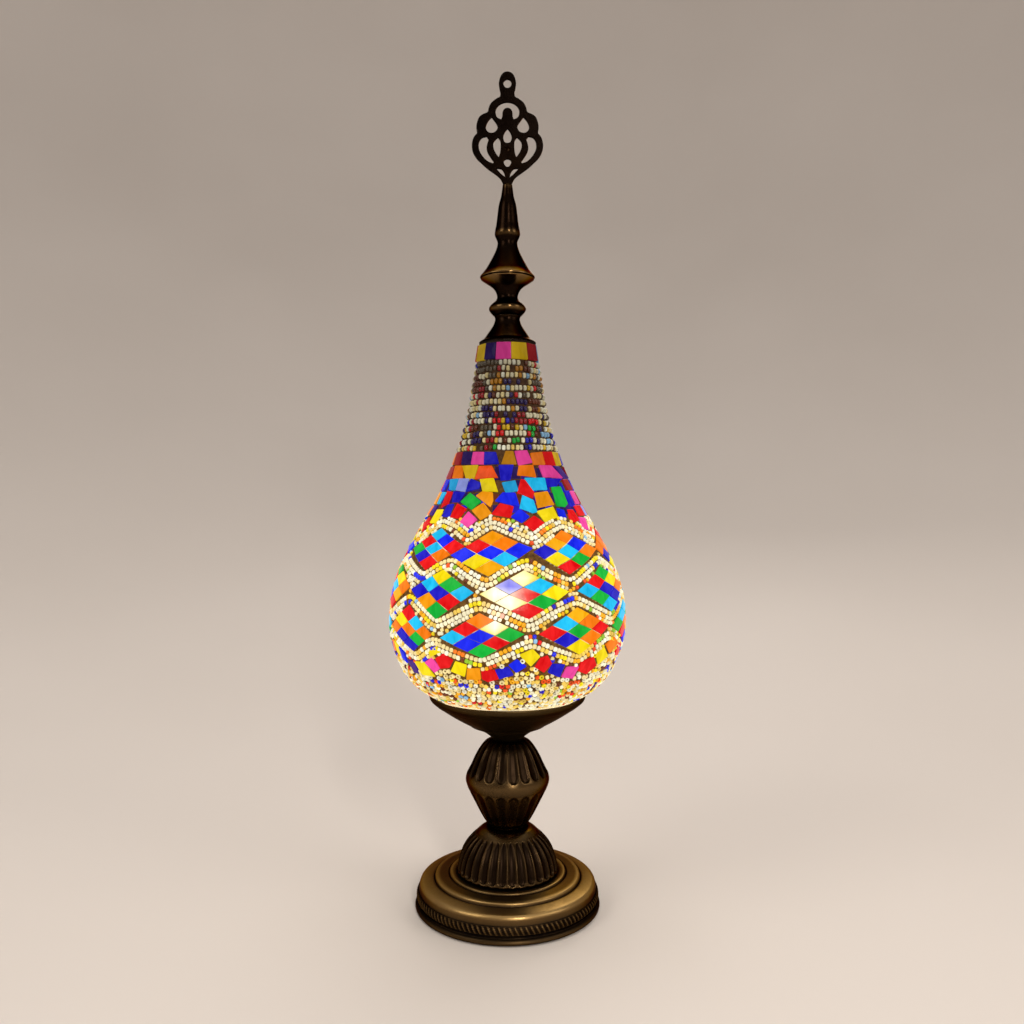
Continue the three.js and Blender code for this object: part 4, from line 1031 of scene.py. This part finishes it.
# the grout's painted glow, fading upward to near dark in the neck
glow = (light_at(P, N) * np.interp(Zg, [284, 300, 330, 334, 409], [1.0, 0.65, 0.5, 0.10, 0.06])).ravel()
n = len(zs)
i, j = np.meshgrid(np.arange(n - 1), np.arange(segs), indexing="ij")
j2 = (j + 1) % segs
outer = np.stack([i * segs + j, i * segs + j2, (i + 1) * segs + j2, (i + 1) * segs + j], -1).reshape(-1, 4)
zin = np.linspace(409.4, 154.6, 60)
Di, Zi = np.meshgrid(deg, zin)
Pi, Ni = surf(Di, Zi, -2.75)
nb = len(zin)
base = n * segs
i, j = np.meshgrid(np.arange(nb - 1), np.arange(segs), indexing="ij")
j2 = (j + 1) % segs
inner = base + np.stack([i * segs + j, i * segs + j2, (i + 1) * segs + j2, (i + 1) * segs + j], -1).reshape(-1, 4)
j = np.arange(segs)
j2 = (j + 1) % segs
topc = np.stack([(n - 1) * segs + j, (n - 1) * segs + j2, base + j2, base + j], -1)
botc = np.stack([base + (nb - 1) * segs + j, base + (nb - 1) * segs + j2, j2, j], -1)
V = np.concatenate([P.reshape(-1, 3), Pi.reshape(-1, 3)])
grout = make_object("mosaic_grout", V, np.concatenate([outer, inner, topc, botc]), None,
                    {"light_leak": np.concatenate([light_leak, np.full(nb * segs, 0.5)]), "glow": np.concatenate([glow, np.full(nb * segs, 1.0)])}, M_GROUT)
place(grout, "shade", "bead_glass")

# ------------------------------------------------------------------ clear globe behind the mosaic
zg = np.concatenate([np.linspace(156.0, 409.0, 70)])
out = [(50.7, 152.8), (51.4, 153.4)] + [(float(R(z)) - 3.0, z) for z in zg]
inn = [(float(R(z)) - 4.9, z) for z in zg[::-1][:-1]] + [(49.6, 156.0), (49.6, 153.2), (50.0, 152.8)]
place(lathe("globe_glass_shell", out + inn, 96, M_GLASS), "shade", "clear_glass", "glass_globe")

# ------------------------------------------------------------------ foot
# third column: the tone, dark in the grooves and the plain band under the rope, with a painted highlight on each bevel
# and along the lip
foot = [
    (62.6, 0.8, 0.1), (66.5, 0.8, 0.15), (67.5, 1.5, 0.12), (67.68, 2.5, 0.34), (67.2, 3.8, 0.16), (66.3, 4.5, 0.05), (65.4, 4.8, 0.05),
    (65.2, 5.4, 0.0), (65.2, 6.5, 0.0), (65.6, 6.95, 0.08), (66.1, 7.3, 0.16), (66.5, 8.2, 0.18), (66.72, 9.2, 0.2), (66.75, 10.2, 0.2),
    (66.5, 11.4, 0.2), (66.1, 12.3, 0.18), (65.5, 12.9, 0.08), (64.9, 13.1, 0.0), (64.75, 13.7, 0.3), (64.6, 15.2, 0.46), (64.45, 16.8, 0.52),
    (64.0, 18.0, 0.85), (63.2, 19.0, 1.0), (62.2, 19.6, 1.0), (60.6, 20.0, 0.85), (57.6, 20.6, 0.72), (55.2, 21.1, 0.62), (54.3, 21.15, 0.3),
    (53.8, 20.7, 0.0), (53.3, 20.9, 0.1), (53.0, 22.2, 0.6), (52.6, 22.9, 1.0), (51.8, 23.3, 0.9), (49.0, 23.6, 0.45), (46.0, 23.95, 0.42),
    (44.2, 24.2, 0.4), (43.5, 24.05, 0.1), (43.0, 23.8, 0.0), (42.5, 24.2, 0.2), (42.2, 24.85, 0.7), (41.4, 25.15, 0.85), (39.8, 25.1, 0.5),
    (37.6, 24.95, 0.05), (5.7, 24.9, 0.2),
    (5.7, 23.5, 0.2), (42.0, 22.5, 0.2), (51.6, 21.5, 0.2), (52.7, 19.9, 0.2), (61.0, 18.1, 0.2), (63.0, 15.6, 0.2), (63.2, 4.2, 0.2), (62.6, 2.2, 0.2),
]
fp = fillet(foot, 0.5, 3)


def rope(phi, r, z, patina_and_painted_light):
    """Slanting strokes rolled round the band."""
    w = np.clip((z - 7.0) / 0.7, 0, 1) * np.clip((12.9 - z) / 0.7, 0, 1) * (r > 65)
    s = np.sin(112 * phi + (z - 10) * 0.85)
    cut = np.clip((s + 0.9) / 0.35, 0, 1)
    # the grooves between the strokes darkened like patina, the raised strokes lightened as a painted highlight
    return -0.75 * w * cut, 0 * r, patina_and_painted_light * (1 - 0.9 * w * cut) + 0.40 * w * (1 - cut)


# the grid has six steps round to each of the 112 strokes, at every height; the profile's rows are few
place(lathe("foot_shell", fp, 112 * 6, M_FOOT, rope), "base", "antique_brass", "base_shell")
place(lathe("felt_disc", fillet([(0.4, 0.0), (61.6, 0.0), (61.6, 1.6), (0.4, 1.6)], 0.3), 120, M_FELT), "base", "felt", "felt_pad")

bush = fillet([(2.1, 0), (4.4, 0), (4.4, 1.4), (2.9, 1.7), (2.9, 6.9), (5.2, 7.1), (5.0, 8.4), (3.6, 9.2), (2.1, 9.2)], 0.4)
segs = 48
a = np.arange(segs) * 2 * np.pi / segs
rr, yy = bush[:, 0:1], bush[:, 1:2] + 60.4
P = np.stack([rr * np.cos(a), np.repeat(yy, segs, 1), 9.9 + rr * np.sin(a)], -1).reshape(-1, 3)
n = len(bush)
i, j = np.meshgrid(np.arange(n), np.arange(segs), indexing="ij")
quads = np.stack([i * segs + j, ((i + 1) % n) * segs + j, ((i + 1) % n) * segs + (j + 1) % segs, i * segs + (j + 1) % segs], -1).reshape(-1, 4)
place(make_object("inlet_bush", P, quads, None, None, M_RUBBER), "base", "rubber", "cord_bush")

# ------------------------------------------------------------------ fluted dome
# third column: the tone, with painted highlights on the bead at the dome's foot and on its upper curve
dome_out = spline([(35.2, 25.4, 0.4), (36.6, 25.5, 0.6), (37.2, 26.6, 0.8), (36.9, 28.0, 0.7), (36.5, 29.6, 0.6), (35.9, 33, 0.6), (33.6, 40, 0.6),
                   (29.8, 46.2, 0.6), (26.2, 50.1, 0.6), (24.0, 52.0, 0.6), (22.4, 53.6, 0.75), (20.6, 55.2, 0.95), (18.6, 56.6, 0.95),
                   (16.4, 57.4, 0.8), (13.6, 57.6, 0.4)], 5)
dome_in = np.array([(5.7, 57.6, 0.2), (5.7, 55.4, 0.2), (16.0, 55.0, 0.2), (21.4, 50.4, 0.2), (26.6, 44.8, 0.2), (30.4, 39.0, 0.2), (32.6, 32.4, 0.2), (34.0, 27.0, 0.2)])


def dome_flutes(phi, r, z, patina_and_painted_light):
    outside = np.zeros_like(r)
    outside[: len(dome_out)] = 1
    u = (phi * 32 / (2 * np.pi)) % 1.0 - 0.5
    u = np.abs(np.repeat(u, r.shape[0], 0))
    hw = np.where(z > 47.5, 0.5 * np.sqrt(np.clip(1 - ((z - 47.5) / 5.2) ** 2, 0, 1)), 0.5)
    hw = np.where(z < 29.2, hw * np.clip((z - 27.2) / 2.0, 0, 1) ** 0.5, hw)
    q = np.clip(u / np.maximum(hw * 0.88, 1e-3), 0, 1.25)
    bowl = np.where(q < 1, (1 - q ** 2.8), 0) * (hw > 0.02)
    depth = 1.55 * np.clip(r / 34, 0.45, 1)
    lobes = 0.28 * np.cos(2 * np.pi * u) * np.clip((29.5 - z) / 2.5, 0, 1) * (r > 34)
    rim = np.where((q > 0.92) & (z < 53) & (z > 28), 1.0, 0.0)
    # the flutes darker, patina and painted shade, and the ridges a little lighter, a painted highlight
    c = patina_and_painted_light - 0.05 + 0.06 * rim * outside - 0.45 * bowl * outside
    return (-depth * bowl * outside - lobes * outside * (-1)), 0 * r, np.clip(c, 0, 1)


place(lathe("dome_fluted", np.vstack([dome_out, dome_in]), 32 * 14, M_STEM, dome_flutes), "base", "dark_brass", "fluted_dome")

# ------------------------------------------------------------------ fluted vase
# third column: the tone, with painted highlights on the foot bead, the girdle and the shoulder
vase_out = spline([(10.8, 57.95, 0.2), (12.5, 58.0, 0.5), (12.9, 59.2, 0.8), (14.0, 60.4, 0.5), (16.0, 61.8, 0.5), (19.8, 67.8, 0.5), (24, 76, 0.5), (28, 84, 0.55),
                   (30.1, 89.2, 0.75), (30.75, 92.6, 0.85), (30.1, 96.0, 0.8), (28.4, 99.6, 0.6), (26.2, 104, 0.6), (23.9, 109.1, 0.6), (21.2, 114, 0.65),
                   (18.2, 118.0, 0.8), (15.4, 120.5, 0.8), (11.6, 121.5, 0.4)], 7)
vase_in = np.array([(5.7, 121.6, 0.2), (5.7, 119.2, 0.2), (13.0, 118.0, 0.2), (18.4, 112.4, 0.2), (23.4, 102.2, 0.2), (27.4, 93.6, 0.2), (27.0, 90.2, 0.2),
                    (20.8, 77.0, 0.2), (12.9, 63.0, 0.2), (10.2, 60.6, 0.2), (5.7, 60.4, 0.2), (5.7, 57.9, 0.2)])


def vase_flutes(phi, r, z, patina_and_painted_light):
    outside = np.zeros_like(r)
    outside[: len(vase_out)] = 1
    u = (phi * 20 / (2 * np.pi)) % 1.0 - 0.5
    u = np.abs(np.repeat(u, r.shape[0], 0))
    # tongues above the girdle, closing in a U at the bottom
    up = (z > 96.4) & (z < 121.2)
    hu = 0.5 * np.sqrt(np.clip(1 - np.clip((101.2 - z) / 4.6, 0, 1) ** 2, 0, 1)) * np.sqrt(np.clip(1 - np.clip((z - 119.0) / 2.2, 0, 1) ** 2, 0, 1))
    # short flutes below it, closing in an arch at the top
    dn = (z > 62.0) & (z < 86.6)
    hd = 0.5 * np.sqrt(np.clip(1 - np.clip((z - 82.0) / 4.4, 0, 1) ** 2, 0, 1)) * np.sqrt(np.clip(1 - np.clip((65.0 - z) / 2.8, 0, 1) ** 2, 0, 1))
    h = np.where(up, hu, np.where(dn, hd, 0))
    q = np.clip(u / np.maximum(h * 0.90, 1e-3), 0, 1.3)
    bowl = np.where(q < 1, 1 - q ** 3.0, 0) * (h > 0.02)
    depth = np.where(up, 1.25, 0.75) * np.clip(r / 27, 0.45, 1)
    rim = np.where((q > 0.9) & (up | dn), 1.0, 0.0)
    # painted light: the tongues a touch darker and the short flutes below lighter; ridges lighter as a painted
    # highlight; flute hollows darker, patina and painted shade
    c = patina_and_painted_light + np.where(up, 0.02, 0.10) * rim * outside - np.where(up, 0.36, 0.19) * bowl * outside + np.where(dn, 0.22, np.where(up, -0.06, 0)) * outside
    return -depth * bowl * outside, 0 * r, np.clip(c, 0, 1)


place(lathe("vase_fluted", np.vstack([vase_out, vase_in]), 20 * 18, M_STEM, vase_flutes), "base", "dark_brass", "stem_vase")

# ------------------------------------------------------------------ gallery dish
dish_out = spline([(9.0, 121.95, 0.3), (10.5, 121.95, 0.6), (11.3, 122.9, 0.7), (14.0, 125.0, 0.62), (17.6, 127.6, 0.45), (20.6, 129.3, 0.5), (25.0, 131.2, 0.55), (27.8, 132.4, 0.65),
                   (29.0, 133.4, 0.35), (33.8, 136.1, 0.45), (40.0, 139.8, 0.47), (46.5, 144.1, 0.45), (49.2, 146.0, 0.47), (49.7, 146.6, 0.05), (50.5, 146.8, 0.42), (54.0, 149.5, 0.40),
                   (56.4, 151.8, 0.40), (57.15, 154.0, 0.45), (56.9, 155.0, 0.6)], 4)
dish_in = np.array([(55.9, 155.0, 0.7), (55.2, 152.9, 0.3), (52.9, 150.6, 0.2), (45.5, 146.2, 0.2), (37.2, 141.2, 0.2), (24.0, 134.4, 0.2), (19.4, 131.0, 0.2), (5.7, 131.0, 0.2), (5.7, 121.95, 0.2)])
place(lathe("gallery_bowl", np.vstack([dish_out, dish_in]), 144, M_DISH), "base", "dark_brass", "gallery_dish")

# ------------------------------------------------------------------ finial
# third column of each profile: the tone, with a painted highlight on the flare's rim and on the knops
cap = np.vstack([
    spline([(20.4, 411.05, 0.0), (20.8, 411.1, 0.02), (20.6, 411.6, 0.05), (19.9, 412.2, 0.2), (17.6, 413.7, 0.5), (14.9, 417.3, 0.45), (12.4, 420.9, 0.45),
            (10.2, 424.5, 0.4), (9.1, 428.1, 0.4), (9.2, 429.6, 0.5), (9.5, 430.5, 0.5)], 6),
    np.array([(3.6, 430.6, 0.2), (3.6, 429.4, 0.2), (7.7, 428.6, 0.2), (8.8, 423.6, 0.2), (11.0, 420.1, 0.2), (13.4, 416.5, 0.2), (16.2, 412.6, 0.2), (18.4, 411.9, 0.2), (20.0, 411.05, 0.2)])])
place(lathe("cap_turned", cap, 96, M_FINIAL), "finial", "finial_brass", "cap_bell")
col = np.vstack([
    spline([(8.6, 430.95, 0.2), (9.9, 431.0, 0.4), (11.4, 432.4, 0.4), (12.9, 434.2, 0.6), (13.5, 435.5, 0.8), (13.35, 437.0, 0.6), (11.7, 439.2, 0.4), (8.7, 441.8, 0.35), (7.6, 444.2, 0.35),
            (7.9, 446.8, 0.35), (9.5, 450.0, 0.4), (11.7, 452.3, 0.5), (16.0, 455.2, 0.8), (19.4, 457.5, 1.0)], 6),
    np.array([(19.2, 457.95, 0.5), (18.6, 458.3, 0.3), (14.6, 456.5, 0.2), (3.6, 456.4, 0.2), (3.6, 430.95, 0.2)])])
place(lathe("knop_turned", col, 96, M_FINIAL), "finial", "finial_brass", "finial_collar")
sp = np.vstack([
    spline([(14.5, 456.75, 0.2), (18.7, 458.75, 0.6), (19.9, 458.7, 1.0), (20.0, 459.3, 0.9), (18.8, 460.9, 0.7), (16.0, 464.5, 0.45), (11.7, 471.8, 0.4), (8.3, 479.0, 0.35), (7.25, 483.4, 0.3),
            (7.4, 485.0, 0.3), (8.4, 487.4, 0.45), (9.3, 489.9, 0.65), (9.0, 493.0, 0.5), (8.2, 497.1, 0.4), (7.3, 504.4, 0.38), (6.3, 511.6, 0.38), (4.7, 517.6, 0.4), (4.0, 522.3, 0.5),
            (3.5, 526.0, 0.6)], 6),
    np.array([(2.1, 526.05, 0.3), (2.1, 517.0, 0.2), (0.4, 517.0, 0.2), (0.4, 475.0, 0.2), (3.6, 474.6, 0.2), (3.6, 456.75, 0.2)])])
place(lathe("spire_turned", sp, 96, M_FINIAL), "finial", "finial_brass", "spire")
place(lathe("neck_washer", fillet([(16.6, 409.9), (20.6, 409.9), (20.6, 410.7), (16.6, 410.7)], 0.2), 96, M_SEAL), "shade", "rubber", "neck_gasket")

# pierced ornament, half outlines [x, depth below the top]
TOP_Z = 607.7
outline = [
    [0, 0], [3.3, 1.2], [5.4, 4.4], [6.3, 8.7], [5.8, 12.4], [5.2, 15.2], [5.5, 18.1], [8.0, 19.5],
    [10.9, 21.7], [12.7, 23.9], [13.8, 26.7], [14.5, 29.2], [17.8, 30.7], [20.3, 32.5], [21.5, 34.7],
    [22.5, 38.3], [22.6, 41.2], [22.2, 44.4], [23.1, 45.5], [24.7, 47.7], [25.6, 50.6], [25.9, 54.2],
    [25.0, 58.5], [22.2, 62.9], [19.2, 65.8], [15.3, 69.4], [10.9, 72.6], [7.3, 75.2], [5.1, 77.4],
    [3.6, 80.3], [3.2, 81.2], [1.3, 81.4], [1.3, 89.2],
]
holes_both = [
    [[11.5, 32.8], [13.9, 35.5], [15.5, 39.1], [15.4, 41.7], [13.8, 43.7], [11.2, 44.2], [8.6, 43.1], [7.2, 40.4], [8.1, 37.5], [9.9, 35.0]],
    [[15.2, 46.8], [18.4, 47.6], [20.4, 50.4], [20.9, 54.2], [20.0, 57.8], [17.6, 61.6], [14.2, 64.8], [10.6, 66.2], [9.9, 65.2], [12.2, 62.0], [14.4, 58.4], [15.2, 55.2], [14.6, 51.8], [13.6, 49.0]],
    [[6.9, 47.4], [9.9, 50.6], [10.2, 54.6], [8.7, 58.6], [6.4, 61.7], [5.4, 58.6], [5.0, 54.2], [5.3, 49.9]],
    [[1.8, 76.0], [2.5, 73.0], [4.5, 70.3], [8.4, 69.7], [6.3, 72.0], [4.1, 74.3]],
]
holes_mid = [
    [[2.9 * math.cos(i * math.pi / 8), 8.7 + 3.25 * math.sin(i * math.pi / 8)] for i in range(16)],
    [[-4.6, 34.5], [-7.6, 32.9], [-8.6, 28.9], [-7.3, 25.3], [-4.0, 22.8], [0, 22.0], [4.0, 22.8], [7.3, 25.3], [8.6, 28.9], [7.6, 32.9], [4.6, 34.5],
     [3.8, 32.5], [3.6, 29.3], [2.3, 27.0], [0, 26.2], [-2.3, 27.0], [-3.6, 29.3], [-3.8, 32.5]],
    [[0, 41.2], [1.9, 43.7], [3.0, 47.0], [2.6, 49.8], [1.3, 51.3], [-1.3, 51.3], [-2.6, 49.8], [-3.0, 47.0], [-1.9, 43.7]],
    [[0.0, 63.0], [1.9, 63.6], [2.7, 65.2], [2.2, 67.0], [0.9, 68.6], [-0.9, 68.6], [-2.2, 67.0], [-2.7, 65.2], [-1.9, 63.6]],
]


def loop_spline(pts, per=4, sharp=55.0):
    """A closed outline with its gentle corners smoothed and its sharp ones kept."""
    p = np.array(pts, float)
    n = len(p)
    out = []
    turn = []
    for i in range(n):
        a, b = p[i] - p[i - 1], p[(i + 1) % n] - p[i]
        turn.append(abs(math.degrees(math.atan2(a[0] * b[1] - a[1] * b[0], a.dot(b)))))
    for i in range(n):
        p1, p2 = p[i], p[(i + 1) % n]
        p0 = p[i - 1] if turn[i] < sharp else 2 * p1 - p2
        p3 = p[(i + 2) % n] if turn[(i + 1) % n] < sharp else 2 * p2 - p1
        for t in np.arange(per) / per:
            out.append(0.5 * (2 * p1 + (p2 - p0) * t + (2 * p0 - 5 * p1 + 4 * p2 - p3) * t**2 + (3 * p1 - p0 - 3 * p2 + p3) * t**3))
    return np.array(out)


full = outline + [[-x, d] for x, d in outline[1:][::-1]]
loops = [full] + holes_mid + holes_both + [[[-x, d] for x, d in h] for h in holes_both]
cu = bpy.data.curves.new("ornament_curve", "CURVE")
cu.dimensions = "2D"
cu.fill_mode = "BOTH"
cu.extrude = 0.00095
cu.bevel_depth = 0.00035
cu.bevel_resolution = 2
cu.offset = -0.00035
for l in loops:
    q = loop_spline(l, 3)
    s = cu.splines.new("POLY")
    s.points.add(len(q) - 1)
    s.points.foreach_set("co", np.concatenate([np.stack([q[:, 0] * MM, (TOP_Z - q[:, 1]) * MM, 0 * q[:, 0], 0 * q[:, 0] + 1], -1)]).ravel())
    s.use_cyclic_u = True
tmp = bpy.data.objects.new("ornament_tmp", cu)
scene.collection.objects.link(tmp)
bpy.context.view_layer.update()
me = bpy.data.meshes.new_from_object(tmp.evaluated_get(bpy.context.evaluated_depsgraph_get()))
bpy.data.objects.remove(tmp)
co = np.zeros(len(me.vertices) * 3, np.float32)
me.vertices.foreach_get("co", co)
co = co.reshape(-1, 3)
co = np.stack([co[:, 0], -co[:, 2], co[:, 1]], -1)
me.vertices.foreach_set("co", co.ravel())
me.name = "ornament_plate"
import bmesh
bm = bmesh.new()
bm.from_mesh(me)
bmesh.ops.remove_doubles(bm, verts=bm.verts, dist=2e-5)
bmesh.ops.recalc_face_normals(bm, faces=bm.faces)
bm.to_mesh(me)
bm.free()
co = np.zeros(len(me.vertices) * 3, np.float32)
me.vertices.foreach_get("co", co)
co = co.reshape(-1, 3)
depth = TOP_Z - co[:, 2] / MM
# painted highlight: a lighter patch low in the middle of the plate
ornament_painted_sheen = (0.10 + 0.34 * np.exp(-(((depth - 65) / 10.0) ** 2)) * np.exp(-((co[:, 0] / MM / 12.0) ** 2))).astype(np.float32)
att = me.attributes.new("patina_and_painted_light", "FLOAT", "POINT")
att.data.foreach_set("value", ornament_painted_sheen)
me.materials.clear()
me.materials.append(M_FINIAL)
orn = bpy.data.objects.new("ornament_plate", me)
scene.collection.objects.link(orn)
place(orn, "finial", "finial_brass", "filigree_ornament")

# the round boss cast through the middle of the plate
V, Q, T = revolve_template([(-1.95, 0.7), (-1.8, 1.5), (-1.4, 2.15), (-1.0, 2.35), (1.0, 2.35), (1.4, 2.15), (1.8, 1.5), (1.95, 0.7)], 28, True)
boss = make_object("ornament_boss", np.stack([V[:, 2], V[:, 0], V[:, 1] + TOP_Z - 56.6], -1), Q, T, {"patina_and_painted_light": np.full(len(V), 0.4)}, M_FINIAL)
place(boss, "finial", "finial_brass")

# ------------------------------------------------------------------ CAD nodes that stay
KEPT = {
    "ballast_weight": M_IRON, "bottom_washer": M_STEEL, "bottom_nut": M_STEEL, "threaded_tube": M_STEEL,
    "gallery_gasket": M_RUBBER, "gallery_washer": M_STEEL, "gallery_nut": M_STEEL, "holder_body": M_HOLDER,
    "holder_insert": M_PORCELAIN, "screw_shell": M_CONTACT, "centre_contact": M_CONTACT, "terminal_screw_live": M_CONTACT,
    "terminal_screw_neutral": M_CONTACT, "lead_live": M_LIVE, "lead_neutral": M_NEUTRAL, "bulb_glass": M_BULB, "bulb_cap": M_CONTACT,
    "bulb_insulator": M_HOLDER, "bulb_tip_contact": M_STEEL, "filament_stem": M_GLASS, "filament": M_FILAMENT,
    "neck_crossbar": M_STEEL, "crossbar_nut": M_STEEL, "tie_rod": M_STEEL,
}
for name, mat in KEPT.items():
    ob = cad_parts[name]
    if not ob.material_slots:
        ob.data.materials.append(mat)
    for s in ob.material_slots:
        s.material = mat

# ------------------------------------------------------------------ floor, light
floor_profile = [(0.0, 0.0), (0.15, 0.0), (0.3, 0.0), (0.45, 0.0)]
floor_profile += [(0.45 + 2.5 * math.sin(t), 2.5 - 2.5 * math.cos(t)) for t in np.linspace(0.05, math.pi / 2, 30)]
floor_profile += [(2.95, 3.2)]
segs = 96
a = np.arange(segs) * 2 * np.pi / segs
P = [np.array([[0, 0, 0]])] + [np.stack([r * 1000 * np.cos(a), r * 1000 * np.sin(a), np.full(segs, z * 1000)], -1) for r, z in floor_profile[1:]]
tr = np.stack([np.zeros(segs, int), 1 + np.arange(segs), 1 + (np.arange(segs) + 1) % segs], -1)
qs = []
for k in range(len(floor_profile) - 2):
    b = 1 + k * segs
    i = np.arange(segs)
    j = (i + 1) % segs
    qs.append(np.stack([b + i, b + segs + i, b + segs + j, b + j], -1))
k = Mat("studio_floor", Roughness=0.7)
k.to(k.ramp(k.noise(1.2, 2.0), [(0.3, (0.66, 0.60, 0.55)), (0.7, (0.70, 0.64, 0.59))]), "Base Color")
k.p.inputs["Specular IOR Level"].default_value = 0.25
floor = make_object("studio_floor", np.concatenate(P), np.concatenate(qs), tr, None, k.m)

world = bpy.data.worlds.new("studio")
world.use_nodes = True
world.node_tree.nodes["Background"].inputs["Color"].default_value = (0.92, 0.90, 0.88, 1)
world.node_tree.nodes["Background"].inputs["Strength"].default_value = 0.60
scene.world = world


def area(name, loc, aim, size, power, colour, size_y=None):
    l = bpy.data.lights.new(name, "AREA")
    l.shape = "RECTANGLE"
    l.size = size
    l.size_y = size_y or size
    l.energy = power
    l.color = colour
    o = bpy.data.objects.new(name, l)
    o.location = loc
    from mathutils import Vector
    o.rotation_euler = (Vector(aim) - Vector(loc)).to_track_quat("-Z", "Y").to_euler()
    scene.collection.objects.link(o)
    return o


area("key", (-0.90, -0.62, 1.02), (0, 0, 0.25), 0.5, 4.4, (1.0, 0.96, 0.90), 0.65)
area("fill", (1.00, -0.52, 0.80), (0, 0, 0.25), 0.45, 2.9, (1.0, 0.95, 0.90), 0.65)
area("top", (0.05, 0.25, 1.75), (0, 0, 0.2), 1.2, 7.5, (1.0, 0.97, 0.94))
area("back", (0.30, 0.95, 0.95), (0, 0, 0.3), 0.6, 2.4, (1.0, 0.95, 0.9))
area("front_strip", (0.42, -1.55, 0.95), (0, 0, 0.35), 0.10, 13.0, (1.0, 0.95, 0.88), 0.9)
